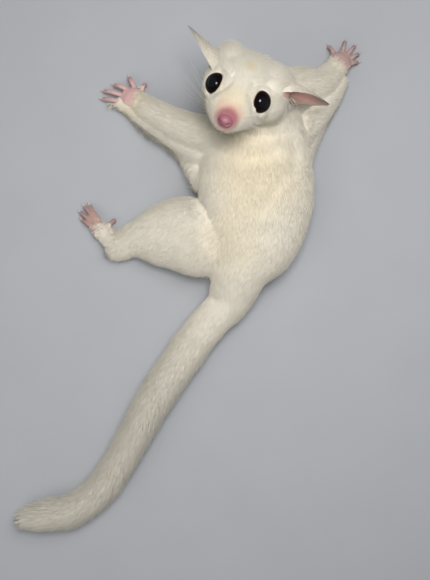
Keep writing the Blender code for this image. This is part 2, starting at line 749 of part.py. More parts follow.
def build_body():
    """Trunk, arms, legs and gliding membranes as one body, then parted where a person would."""
    limbs = {
        "torso": TORSO, "neck": NECK, "arm_l": ARM_LEFT, "arm_r": ARM_RIGHT, "leg_l": LEG_LEFT,
        "leg_r": LEG_RIGHT, "ankle_r": ANKLE_RIGHT, "web_l": MEMBRANE_LEFT, "web_r": MEMBRANE_RIGHT,
    }
    pieces = [tube(name, rows) for name, rows in limbs.items()] + skull_pieces()
    body = fused("chest", pieces, BODY_VOXEL, BODY_TRIANGLES, BODY_ROUNDS)
    combine(body, head_block(GAP), "DIFFERENCE")
    remove_end(body, HAND_LEFT_WRIST, LEFT_HAND_AWAY, HAND_BOX)
    remove_end(body, HAND_RIGHT_WRIST, RIGHT_HAND_AWAY, HAND_BOX)
    remove_end(body, FOOT_LEFT_WRIST, LEFT_FOOT_AWAY, FOOT_BOX)
    room = Vector(RIGHT_FOOT_AWAY).normalized() * FOOT_ROOM[0] + Vector((*FOOT_RIGHT_WRIST[:2], 0))
    combine(body, block(room, RIGHT_FOOT_AWAY, UP, FOOT_ROOM, GAP), "DIFFERENCE")
    remove_end(body, TAIL_ROOT, TAIL_AWAY, TAIL_BOX)
    nodes = [body]
    for name, centre, along, aside, half in LIMB_BOXES:
        nodes.append(part_off(body, name, centre, along, aside, half))
    for name, point, normal in TRUNK_PLANES:
        nodes.append(slice_off(body, name, point, normal))
    return nodes


def remove_end(obj, point, normal, size):
    """Removes what lies beyond a joint, where the next piece takes over, in a box of this half size."""
    normal = Vector(normal).normalized()
    centre = Vector(point) + normal * size
    combine(obj, block(centre, normal, UP, (size, size, size), GAP), "DIFFERENCE")


def keep_beyond(obj, point, normal, size):
    """Keeps what lies beyond a joint."""
    normal = Vector(normal).normalized()
    centre = Vector(point) + normal * size
    return combine(obj, block(centre, normal, UP, (size, size, size)), "INTERSECT")


def build_extremities():
    """Both hands and both hind feet."""
    table = (
        ("hand_left", HAND_LEFT_PALM, HAND_LEFT_WRIST, HAND_LEFT_DIGITS, LEFT_HAND_AWAY),
        ("hand_right", HAND_RIGHT_PALM, HAND_RIGHT_WRIST, HAND_RIGHT_DIGITS, RIGHT_HAND_AWAY),
        ("foot_left", FOOT_LEFT_PALM, FOOT_LEFT_WRIST, FOOT_LEFT_DIGITS, LEFT_FOOT_AWAY),
        ("foot_right", FOOT_RIGHT_PALM, FOOT_RIGHT_WRIST, FOOT_RIGHT_DIGITS, RIGHT_FOOT_AWAY),
    )
    return [extremity(*row) for row in table]


def build_tail():
    """The tail as one tapering tube, parted into four lengths."""
    tail = tube("tail_base", TAIL, steps=4, sides=16)
    settle(tail, 0.0)
    settle(tail, FLOOR_SNAP)
    tail = keep_beyond(tail, TAIL_ROOT, TAIL_AWAY, TAIL_REACH)
    nodes = [tail]
    rest = tail
    for name, row in TAIL_CUTS:
        before, after = np.array(TAIL[row - 1][:3]), np.array(TAIL[row + 1][:3])
        away = after - before
        away[2] = 0.0
        rest = slice_off(rest, name, TAIL[row][:3], away)
        nodes.append(rest)
    return nodes


def dress(nodes):
    """Every node has a finish of its own and smooth shading."""
    for obj in nodes:
        colour, roughness = FUR, 0.9
        if obj.name.startswith(("hand", "foot", "nose")):
            colour, roughness = PINK, 0.5
        elif obj.name.startswith("ear"):
            colour, roughness = EAR_SKIN, 0.6
        elif obj.name.startswith("eye"):
            colour, roughness = BLACK, 0.05
        obj.data.materials.clear()
        obj.data.materials.append(finish(f"finish_{obj.name}", colour, roughness))
        obj.data.shade_smooth()
        obj.data.set_sharp_from_angle(angle=math.radians(50))


def centre_on_floor(nodes):
    """Moves the model so that the middle of its box on the floor is the origin."""
    low = np.full(3, np.inf)
    high = np.full(3, -np.inf)
    for obj in nodes:
        points = np.empty(len(obj.data.vertices) * 3)
        obj.data.vertices.foreach_get("co", points)
        points = points.reshape(-1, 3)
        low = np.minimum(low, points.min(axis=0))
        high = np.maximum(high, points.max(axis=0))
    shift = Matrix.Translation((-(low[0] + high[0]) / 2, -(low[1] + high[1]) / 2, -low[2]))
    for obj in nodes:
        obj.data.transform(shift)


def main():
    clear_scene()
    head, nose, eyes, ears = build_head()
    body = build_body()
    neck = next(obj for obj in body if obj.name == "neck")
    for leaf in ears:
        combine(leaf, grown(neck, "grown_neck", GAP), "DIFFERENCE")
    ends = build_extremities()
    nodes = [head, nose, *eyes, *ears, *body, *ends, *build_tail()]
    centre_on_floor(nodes)
    dress(nodes)


main()
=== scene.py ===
"""Looks of a life-size sugar glider that lies belly down and looks back over its shoulder.

One skin covers head, trunk, limbs and tail.  Over it lies a coat of fine tufts that follow the lie
of the fur.  Eyes, lids, nose, ears, claws and whiskers are pieces of their own.  Body tables are in
millimetres in the animal's own plan: x to its right, y towards its shoulders, z up from the floor.
"""

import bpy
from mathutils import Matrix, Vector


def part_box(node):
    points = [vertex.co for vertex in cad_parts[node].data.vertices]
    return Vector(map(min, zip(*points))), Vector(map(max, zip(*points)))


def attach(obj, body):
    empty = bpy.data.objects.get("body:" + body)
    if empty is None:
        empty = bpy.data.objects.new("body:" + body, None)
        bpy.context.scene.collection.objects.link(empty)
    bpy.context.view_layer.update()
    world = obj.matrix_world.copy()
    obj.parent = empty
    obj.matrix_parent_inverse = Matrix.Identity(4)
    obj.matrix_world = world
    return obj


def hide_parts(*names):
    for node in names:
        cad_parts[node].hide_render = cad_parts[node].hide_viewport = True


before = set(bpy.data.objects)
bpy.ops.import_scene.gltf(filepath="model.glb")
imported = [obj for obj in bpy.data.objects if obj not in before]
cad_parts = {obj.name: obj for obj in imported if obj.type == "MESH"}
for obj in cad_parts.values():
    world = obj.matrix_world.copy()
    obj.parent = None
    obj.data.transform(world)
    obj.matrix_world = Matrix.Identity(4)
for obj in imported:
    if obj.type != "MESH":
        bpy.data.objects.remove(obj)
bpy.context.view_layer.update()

import logging
import math
from dataclasses import dataclass
from enum import Enum
from typing import Any, Sequence

import bpy
import numpy as np
from mathutils import Vector

LOG = logging.getLogger("glider")
Array = np.ndarray
Row = tuple[float, ...]
Colour = tuple[float, float, float]

MM = 0.001
UP = np.array((0.0, 0.0, 1.0))
FLOOR_CLEAR = 0.0003  # the skin's lowest level over the floor
TUFT_CLEAR = 0.00005  # the tufts' lowest level over it
ROD_START = 0.6  # how far a rod's near pole stands out, in radii
END_RINGS = (25.0, 50.0, 70.0)  # degrees from a limb's pole to the rings that close its end
END_REACH = 0.9  # how far a limb's pole stands out, in radii
THINNEST = 0.8  # least radius of a limb's skin, mm

# Driving sizes of the head, mm, in its own frame: forward to the nose, left, up to the crown.
HEAD_ORIGIN = (9.8, 82.9, 50.0)
HEAD_AZIMUTH = -112.0
HEAD_ELEVATION = 56.5
SKULL = (  # forward, up, height of the upper and of the lower half, half width
    (17.0, -7.6, 3.4, 4.4, 4.2),
    (13.6, -7.6, 5.2, 6.6, 6.4),
    (9.4, -6.6, 7.6, 9.2, 9.2),
    (5.0, -5.2, 10.2, 11.2, 12.4),
    (0.0, -3.6, 13.0, 13.2, 14.8),
    (-5.0, -2.2, 14.6, 14.4, 16.8),
    (-10.0, -1.4, 15.2, 14.8, 17.6),
    (-16.0, -1.0, 15.0, 14.8, 17.6),
    (-22.0, -1.5, 13.2, 13.8, 16.2),
    (-27.0, -2.0, 9.5, 10.5, 12.5),
)
SWELLINGS = (  # centres and radii of the left cheek and of the roots of both ears
    ((-12.0, 9.5, -3.5), (12.5, 12.5, 10.5)),
    ((-14.0, 10.5, 3.0), (12.0, 12.0, 10.5)),
    ((-13.0, -7.5, 5.5), (10.0, 9.0, 8.8)),
)
EYE_CENTRE = (0.3, 9.6, -0.1)
EYE_LOOKS = (0.80, 0.45, 0.38)  # the way that the left eye looks
EYE_RADIUS = 4.7
NOSE_CENTRE = (16.9, 0.0, -6.8)
# Root of each ear, its way to the tip, and the way into its cup.
EAR_LEFT = ((-8.8, 17.5, 2.6), (-0.56, 0.826, 0.05), (0.733, 0.189, -0.654))
EAR_RIGHT = ((-7.7, -11.2, 0.6), (-0.468, -0.733, 0.497), (0.377, -0.386, -0.842))
BROW_TUFT = (-13.0, -12.0, 12.0)  # where the fur stands up in front of the right ear


def unit(vectors: Array) -> Array:
    """Scales vectors to length one."""
    return vectors / np.maximum(np.linalg.norm(vectors, axis=-1, keepdims=True), 1e-12)


def fade(value: Array, start: float, end: float) -> Array:
    """A smooth step.

    Args:
        value: Where to read the step.
        start: Value at which it begins to leave 0.
        end: Value at which it reaches 1.

    Returns:
        3 t squared less 2 t cubed, with t the place between start and end.
    """
    t = np.clip((value - start) / (end - start), 0.0, 1.0)
    return t * t * (3.0 - 2.0 * t)


def bell(value: Array, width: float) -> Array:
    """A bell curve round 0: exp of minus (value / width) squared."""
    return np.exp(-((value / width) ** 2))


def distances(points: Array, centre: Any) -> Array:
    """How far each point is from a centre."""
    return np.linalg.norm(points - np.array(centre), axis=-1)


def turns(count: int) -> Array:
    """Even steps round a full turn, in radians."""
    return np.linspace(0, 2 * math.pi, count, endpoint=False)


def sphere(rows: int, sides: int) -> Array:
    """Unit ways in rings round the first axis, from pole to pole without the two poles.

    Args:
        rows: Number of steps from pole to pole, the poles among them.
        sides: Number of ways in a ring.

    Returns:
        The ways, ring by ring.
    """
    polar = np.linspace(0, math.pi, rows)[1:-1, None]
    turn = turns(sides)[None, :]
    ring = np.sin(polar)
    return np.stack([np.cos(polar) + 0 * turn, ring * np.cos(turn), ring * np.sin(turn)], axis=-1)


def smooth_rows(rows: Sequence[Row], count: int) -> Array:
    """Even steps along a Catmull-Rom curve through the rows.

    Args:
        rows: Points with any other sizes that change along the curve.
        count: Number of steps wanted.

    Returns:
        One row for each step.
    """
    table = np.asarray(rows, float)
    padded = np.vstack([2 * table[0] - table[1], table, 2 * table[-1] - table[-2]])
    t = np.linspace(0.0, len(table) - 1.0, count)
    i = np.minimum(t.astype(int), len(table) - 2)
    u = (t - i)[:, None]
    a, b, c, d = padded[i], padded[i + 1], padded[i + 2], padded[i + 3]
    cubic = (3 * b - 3 * c + d - a) * u**3
    square = (2 * a - 5 * b + 4 * c - d) * u**2
    return 0.5 * (2 * b + (c - a) * u + square + cubic)


def sway(points: Array, scale: float, seed: float) -> Array:
    """A slow wave in space, the mean of sines along three bent ways, between -1 and 1.

    Args:
        points: Places, in metres.
        scale: Length of a wave, in metres.
        seed: Shift that makes one wave differ from another.

    Returns:
        One value for each point.
    """
    k = 2.0 * math.pi / scale
    x, y, z = points[..., 0] * k, points[..., 1] * k, points[..., 2] * k
    first = np.sin(x + 1.7 * np.sin(0.6 * y + seed) + seed)
    second = np.sin(y * 0.9 + 1.3 * np.sin(0.7 * z + 2.0 * seed) + 2.3 * seed)
    third = np.sin(z * 1.1 + 1.5 * np.sin(0.8 * x + 3.0 * seed) + 3.1 * seed)
    return (first + second + third) / 3.0


@dataclass
class Shape:
    """Points with the faces between them, before they become a mesh."""

    points: Array
    faces: list[Array]


def joined(shapes: Sequence[Shape]) -> Shape:
    """Puts several shapes into one.

    Args:
        shapes: Shapes to join.

    Returns:
        One shape that holds the points and faces of all.
    """
    faces: list[Array] = []
    start = 0
    for shape in shapes:
        faces += [block + start for block in shape.faces]
        start += len(shape.points)
    return Shape(np.vstack([shape.points for shape in shapes]), faces)


def closed_grid(rings: Array, first: Array, last: Array) -> Shape:
    """A tube of rings, closed by a pole at each end.

    Args:
        rings: Points, ring by ring, each ring closed on itself.
        first: Pole before the first ring.
        last: Pole after the last ring.

    Returns:
        Quads between the rings and triangles at the poles.
    """
    count, sides, _ = rings.shape
    index = np.arange(count * sides).reshape(count, sides)
    after = np.roll(index, -1, axis=1)
    quads = np.stack([index[:-1], after[:-1], after[1:], index[1:]], axis=-1).reshape(-1, 4)
    pole = np.full(sides, count * sides)
    start = np.stack([pole, after[0], index[0]], axis=-1)
    end = np.stack([pole + 1, index[-1], after[-1]], axis=-1)
    return Shape(np.vstack([rings.reshape(-1, 3), first, last]), [quads, start, end])


def rod(path: Array, radii: Array, sides: int, blunt: float = 0.9, flat: float = 1.0) -> Shape:
    """A round rod along a path, its radius given at each point, with rounded ends.

    Args:
        path: Points along the middle.
        radii: Radius at each point.
        sides: Points round it.
        blunt: How far the far pole stands out, in radii.
        flat: Height over width of its section.

    Returns:
        The closed rod.
    """
    along = unit(np.gradient(path, axis=0))
    guide = UP if abs(along[0, 2]) < 0.9 else np.array((1.0, 0.0, 0.0))
    aside = unit(np.cross(along, guide))
    upward = np.cross(aside, along)
    angle = turns(sides)[None, :, None]
    circle = np.cos(angle) * aside[:, None] + flat * np.sin(angle) * upward[:, None]
    rings = path[:, None] + circle * radii[:, None, None]
    near = path[0] - along[0] * radii[0] * ROD_START
    return closed_grid(rings, near, path[-1] + along[-1] * radii[-1] * blunt)


def new_object(name: str, shape: Shape) -> bpy.types.Object:
    """Makes a smooth mesh object with its place in its mesh.

    Args:
        name: The object's name.
        shape: Points in metres and faces of three or four corners.

    Returns:
        The object, linked to the scene.
    """
    mesh = bpy.data.meshes.new(name)
    corners = np.concatenate([block.ravel() for block in shape.faces]).astype(np.int32)
    sizes = np.concatenate([np.full(len(block), block.shape[1]) for block in shape.faces])
    starts = np.concatenate([[0], np.cumsum(sizes)[:-1]]).astype(np.int32)
    mesh.vertices.add(len(shape.points))
    mesh.vertices.foreach_set("co", shape.points.astype(np.float32).ravel())
    mesh.loops.add(len(corners))
    mesh.loops.foreach_set("vertex_index", corners)
    mesh.polygons.add(len(starts))
    mesh.polygons.foreach_set("loop_start", starts)
    mesh.update(calc_edges=True)
    mesh.validate()
    mesh.shade_smooth()
    obj = bpy.data.objects.new(name, mesh)
    bpy.context.scene.collection.objects.link(obj)
    return obj


def shape_of(obj: bpy.types.Object) -> Shape:
    """Reads an object's evaluated mesh as triangles.

    Args:
        obj: The object, with its modifiers.

    Returns:
        Its points and triangles.
    """
    evaluated = obj.evaluated_get(bpy.context.evaluated_depsgraph_get())
    mesh = evaluated.to_mesh()
    points = np.empty(len(mesh.vertices) * 3, np.float32)
    mesh.vertices.foreach_get("co", points)
    mesh.calc_loop_triangles()
    faces = np.empty(len(mesh.loop_triangles) * 3, np.int32)
    mesh.loop_triangles.foreach_get("vertices", faces)
    evaluated.to_mesh_clear()
    return Shape(points.reshape(-1, 3).astype(float), [faces.reshape(-1, 3)])


def fused(shapes: Sequence[Shape], voxel: float, rounds: int) -> Shape:
    """One closed skin round all the shapes, softened.

    Args:
        shapes: Closed shapes that run into each other.
        voxel: Size of the steps that the skin is found with.
        rounds: How often it is softened.

    Returns:
        The outer surface as triangles.
    """
    obj = new_object("fusing", joined(shapes))
    remesh = obj.modifiers.new("skin", "REMESH")
    remesh.mode = "VOXEL"
    remesh.voxel_size = voxel
    soften = obj.modifiers.new("soften", "SMOOTH")
    soften.factor = 0.5
    soften.iterations = rounds
    shape = shape_of(obj)
    bpy.data.objects.remove(obj, do_unlink=True)
    return shape


def face_ways(corners: Array) -> Array:
    """The outward way of each triangle, as long as twice its area."""
    return np.cross(corners[:, 1] - corners[:, 0], corners[:, 2] - corners[:, 0])


def point_normals(shape: Shape) -> Array:
    """The outward way at each point, from the areas of the triangles round it.

    Args:
        shape: A shape of triangles.

    Returns:
        One unit way for each point.
    """
    faces = shape.faces[0]
    cross = face_ways(shape.points[faces])
    total = np.zeros_like(shape.points)
    for corner in range(3):
        for axis in range(3):
            total[:, axis] += np.bincount(faces[:, corner], cross[:, axis], len(total))
    return unit(total)


def set_values(obj: bpy.types.Object, name: str, values: Array) -> None:
    """Stores one number for each point of a mesh under a name that a material reads."""
    layer = obj.data.attributes.new(name, "FLOAT", "POINT")
    layer.data.foreach_set("value", values.astype(np.float32))


class HeadFrame:
    """The head's axes in the animal's plan: forward, left and up, from between the eyes."""

    def __init__(self) -> None:
        """Works the axes out from the way that the head looks."""
        azimuth, elevation = math.radians(HEAD_AZIMUTH), math.radians(HEAD_ELEVATION)
        flat = math.cos(elevation)
        self.forward = np.array((flat * math.cos(azimuth), flat * math.sin(azimuth), math.sin(elevation)))
        self.up = unit(UP - self.forward * self.forward[2])
        self.left = np.cross(self.up, self.forward)
        self.axes = np.stack([self.forward, self.left, self.up])
        plan = np.array(HEAD_ORIGIN) + self.axes.T @ np.array(EYE_CENTRE)
        low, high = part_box("eye_left")
        self.shift = (np.array(low) + np.array(high)) / 2 - plan * MM
        self.origin = np.array(HEAD_ORIGIN) * MM + self.shift

    def world(self, points: Any) -> Array:
        """World places of points given in mm in the head's frame."""
        return np.asarray(points, float) * MM @ self.axes + self.origin

    def local(self, points: Array) -> Array:
        """Places in mm in the head's frame of world points."""
        return (points - self.origin) @ self.axes.T / MM

    def plan(self, points: Any) -> Array:
        """World places of points given in mm in the animal's plan."""
        return np.asarray(points, float) * MM + self.shift


HEAD = HeadFrame()


class Gaze:
    """One eye: its centre, the way it looks, and the oval opening between its lids."""

    half_upward = 68.0  # degrees from the middle of the opening to its upper and lower edge
    corner = 1.2  # degrees by which its front corner is drawn out
    corner_turn = 0.30  # how far round the opening that reaches, radians

    def __init__(self, side: int) -> None:
        """Sets the eye's centre and directions.

        Args:
            side: 1 for the left eye and -1 for the right.
        """
        mirror = np.array((1, side, 1))
        self.half_across = 50.0 if side > 0 else 44.0  # the right eye is a little more closed
        self.centre = HEAD.world(np.array(EYE_CENTRE) * mirror)
        self.looks = unit(np.array(EYE_LOOKS) * mirror) @ HEAD.axes
        self.upward = unit(HEAD.up - self.looks * (HEAD.up @ self.looks))
        self.across = np.cross(self.upward, self.looks) * side

    def edge(self, turn: Array) -> Array:
        """Degrees from the middle of the opening to its edge: an oval, drawn out at the front corner."""
        oval = 1.0 / np.hypot(np.cos(turn) / self.half_across, np.sin(turn) / self.half_upward)
        return oval + self.corner * bell(np.abs(turn) - math.pi, self.corner_turn)

    def beyond(self, points: Array) -> tuple[Array, Array]:
        """Distance from the centre in metres, and degrees outside the edge of the opening.

        Args:
            points: World places.

        Returns:
            Two values for each place.
        """
        away = points - self.centre
        ahead, up, across = (away @ axis for axis in (self.looks, self.upward, self.across))
        angle = np.degrees(np.arctan2(np.hypot(up, across), ahead))
        return np.linalg.norm(away, axis=1), angle - self.edge(np.arctan2(up, across))

    def around(self, turn: Array) -> Array:
        """The way from the middle of the opening at a turn round it."""
        return np.cos(turn)[..., None] * self.across + np.sin(turn)[..., None] * self.upward


GAZES = (Gaze(1), Gaze(-1))


class Ear:
    """A thin cupped leaf with a curled rim and two ridges inside its cup, sizes in mm."""

    half_width = 6.6
    lift = 2.0
    arc_root = 95.0  # half the arc across it at its root, degrees
    arc_fall = 50.0  # how much less it is at the tip
    cup_depth = 5.4
    cup_half = 5.6
    pit_wall = 14.0  # how much higher the head is left round the pit
    pit_reach = 16.0
    buried = 0.16  # share of its length that lies under the skin of the head
    buried_rows = 8
    wall = 0.62
    rows = 60
    columns = 41

    def __init__(self, name: str, place: tuple[Row, Row, Row], length: float, floor: float) -> None:
        """Sets the ear's axes, each at right angles to the others.

        Args:
            name: The ear's name.
            place: Its root, its way to the tip and the way into its cup, in the head's frame.
            length: Its length, mm.
            floor: Level of its pit's floor along the ear, mm.
        """
        self.name = name
        self.length = length
        self.floor = floor
        self.root, axis, opening = (np.array(v) for v in place)
        self.axis = unit(axis)
        self.opening = unit(opening - self.axis * (opening @ self.axis))
        self.across = np.cross(self.axis, self.opening)

    def local(self, points: Array) -> Array:
        """Places of world points from the ear's root, mm: out along it, across it, and into its opening."""
        return (HEAD.local(points) - self.root) @ np.stack([self.axis, self.across, self.opening]).T

    def behind(self, points: Array) -> Array:
        """Tells the ear's back from its cup, whose depth is cup_depth times (1 - (aside / cup_half) squared).

        Args:
            points: World places.

        Returns:
            1 behind the leaf and 0 in front of it.
        """
        _, aside, ahead = self.local(points).T
        back = -self.cup_depth * np.maximum(1.0 - (aside / self.cup_half) ** 2, 0.0)
        return fade(back - ahead, -0.4, 1.0)

    def pit(self, points: Array) -> tuple[Array, Array]:
        """The pit in front of the ear, where its cup runs down into the head.

        Args:
            points: World places.

        Returns:
            How far each lies past the pit's floor, mm, and how much of it is the pit's bare skin.
        """
        place = self.local(points)
        out, aside, ahead = place.T
        floor = self.floor + self.pit_wall * np.maximum(fade(ahead, 0.8, 3.6), fade(np.abs(aside), 3.6, 5.6))
        floor = floor + self.pit_wall * self.behind(points)
        near = np.linalg.norm(place, axis=1) < self.pit_reach
        bare = near * (1.0 - fade(floor - self.floor, 1.0, 4.0)) * (out > -2.0)
        return np.where(near, np.maximum(out - floor, 0.0), 0.0), bare

    def leaf(self, inset: float) -> Array:
        """One face of the ear: an arc across, its half width widest a third of the way out.

        Args:
            inset: How far the face lies inside the outer one, mm.

        Returns:
            Points in the head's frame, row by row from the root to the tip.
        """
        reach = np.linspace(-self.buried, 1.0, self.rows)[:, None]
        share = np.maximum(reach, 0.0)
        aside = np.linspace(-1.0, 1.0, self.columns)[None, :]
        half = self.half_width * (0.10 + 0.90 * np.sin(math.pi * (0.16 + 0.84 * share) ** 0.72) ** 0.8)
        half = half * (1.0 + 2.2 * np.minimum(reach, 0.0))
        arc = np.radians(self.arc_root - self.arc_fall * share)
        radius = half / np.sin(arc)
        bend = aside * arc
        thin = inset * (1.0 - 0.75 * np.abs(aside) ** 6)
        wide = (radius - thin) * np.sin(bend)
        deep = -(radius - thin) * (np.cos(bend) - np.cos(arc)) + self.lift * share * share
        curl = 0.55 * bell(np.abs(aside) - 0.93, 0.07) * fade(1.0 - share, 0.02, 0.3)
        ridge = 0.5 * bell(aside - 0.35, 0.13) * fade(0.75 - share, 0.0, 0.4)
        ridge = ridge + 0.4 * bell(aside + 0.30, 0.12) * fade(0.6 - share, 0.0, 0.4)
        line = self.root + self.axis * self.length * reach[..., None]
        return line + self.across * wide[..., None] + self.opening * (deep + curl + ridge)[..., None]

    def build(self) -> bpy.types.Object:
        """Joins the two faces of the leaf round their edge.

        Returns:
            The ear, with how near the rim and the tip each point is, and whether it is in the cup.
        """
        outer, inner = self.leaf(0.05), self.leaf(self.wall)
        count = self.rows * self.columns
        index = np.arange(count).reshape(self.rows, self.columns)
        near, far = index[:-1], index[1:]
        quads = np.stack([near[:, :-1], near[:, 1:], far[:, 1:], far[:, :-1]], axis=-1).reshape(-1, 4)
        rim = np.concatenate([index[0], index[1:, -1], index[-1, -2::-1], index[-2:0:-1, 0]])
        after = np.roll(rim, -1)
        edge = np.stack([after, rim, rim + count, after + count], axis=-1)
        points = HEAD.world(np.vstack([outer.reshape(-1, 3), inner.reshape(-1, 3)]))
        obj = new_object(self.name + "_leaf", Shape(points, [quads, quads[:, ::-1] + count, edge]))
        share = np.repeat(np.linspace(-self.buried, 1, self.rows), self.columns)
        aside = np.tile(np.abs(np.linspace(-1, 1, self.columns)), self.rows)
        rim_mark = np.maximum(fade(aside, 0.55, 0.98), fade(share, 0.45, 1.0))
        set_values(obj, "rim", np.tile(rim_mark, 2))
        set_values(obj, "reach", np.tile(share, 2))
        set_values(obj, "cup", np.concatenate([np.zeros(count), np.ones(count)]))
        return obj


EARS = (Ear("ear_left", EAR_LEFT, 23.5, 2.8), Ear("ear_right", EAR_RIGHT, 26.0, 5.0))


class Region(Enum):
    """Parts of the coat, each with its own pieces."""

    HEAD = "head"
    NECK = "neck"
    TRUNK = "trunk"
    ARM_LEFT = "arm_left"
    ARM_RIGHT = "arm_right"
    LEG_LEFT = "leg_left"
    LEG_RIGHT = "leg_right"
    TAIL = "tail"


@dataclass(frozen=True)
class Fur:
    """How the fur of one limb grows: sizes in mm, lean in degrees from the skin."""

    length: float
    width: float
    lean: float
    depth: float  # how far the coat stands over the skin
    per_mm2: float
    bias: tuple[float, float, float] = (0.0, 0.0, 0.0)  # a way of its own, added to the limb's
    along: float = 1.0  # how much of the limb's way there is in its lie
    clump: float = 0.15  # how far its tips are drawn together


@dataclass(frozen=True)
class Limb:
    """One oval tube of the body: rows of x, y, z, half width and half height in mm, and its fur."""

    region: Region
    fur: Fur
    rows: tuple[Row, ...]
    steps: int = 8
    sides: int = 36

    def line(self) -> Array:
        """Even rows along the limb, in metres.

        Returns:
            Centre and half sizes of each step, the centre in the world.
        """
        rows = smooth_rows(self.rows, (len(self.rows) - 1) * self.steps + 1) * MM
        rows[:, :3] += HEAD.shift
        return rows

    def solid(self) -> Shape:
        """The limb's skin: ovals across a smooth path, smaller than the limb by the coat's depth.

        Each ring is the centre plus cos(a) half width aside plus sin(a) half height upward; three
        rings with radii that follow a sine close each end.

        Returns:
            The closed tube.
        """
        rows = self.line()
        centre = rows[:, :3]
        radii = np.maximum(rows[:, 3:5] - self.fur.depth * MM, THINNEST * MM)
        along = unit(np.gradient(centre, axis=0))
        aside = unit(np.cross(along, UP))
        upward = np.cross(aside, along)
        angle = turns(self.sides)[None, :, None]
        oval = np.cos(angle) * aside[:, None] * radii[:, :1, None]
        oval = oval + np.sin(angle) * upward[:, None] * radii[:, 1:, None]
        swell = np.radians(END_RINGS)
        reach = END_REACH * radii.min(axis=1)
        start = centre[0] - along[0] * reach[0] * np.cos(swell)[:, None]
        end = centre[-1] + along[-1] * reach[-1] * np.cos(swell)[::-1, None]
        before = start[:, None] + oval[0] * np.sin(swell)[:, None, None]
        beyond = end[:, None] + oval[-1] * np.sin(swell)[::-1, None, None]
        rings = np.concatenate([before, centre[:, None] + oval, beyond])
        return closed_grid(rings, centre[0] - along[0] * reach[0], centre[-1] + along[-1] * reach[-1])


BODY_FUR = Fur(5.6, 0.30, 13.0, 1.7, 4.6)
NECK_FUR = Fur(4.8, 0.30, 15.0, 1.6, 5.0, (0.0, -0.5, 0.0))
ARM_FUR = Fur(4.2, 0.27, 14.0, 1.2, 5.6, (-0.1, -0.55, 0.0))
ARM_RIGHT_FUR = Fur(4.2, 0.27, 14.0, 1.2, 5.6, (0.15, -0.55, 0.0))
EDGE_LEFT_FUR = Fur(5.4, 0.30, 20.0, 1.4, 6.5, (-0.8, -0.9, 0.0), 0.25, 0.5)
EDGE_RIGHT_FUR = Fur(4.8, 0.30, 16.0, 1.4, 5.5, (0.45, -1.0, 0.0), 0.25, 0.4)
LEG_FUR = Fur(5.4, 0.30, 18.0, 1.6, 5.2, (-0.1, -0.9, 0.0), 0.7, 0.45)
LEG_RIGHT_FUR = Fur(5.0, 0.30, 15.0, 1.6, 4.8, (0.2, -1.0, 0.0), 0.1)
TAIL_FUR = Fur(7.6, 0.32, 33.0, 2.8, 6.0, (0.35, -0.1, 0.0), 1.0, 0.28)

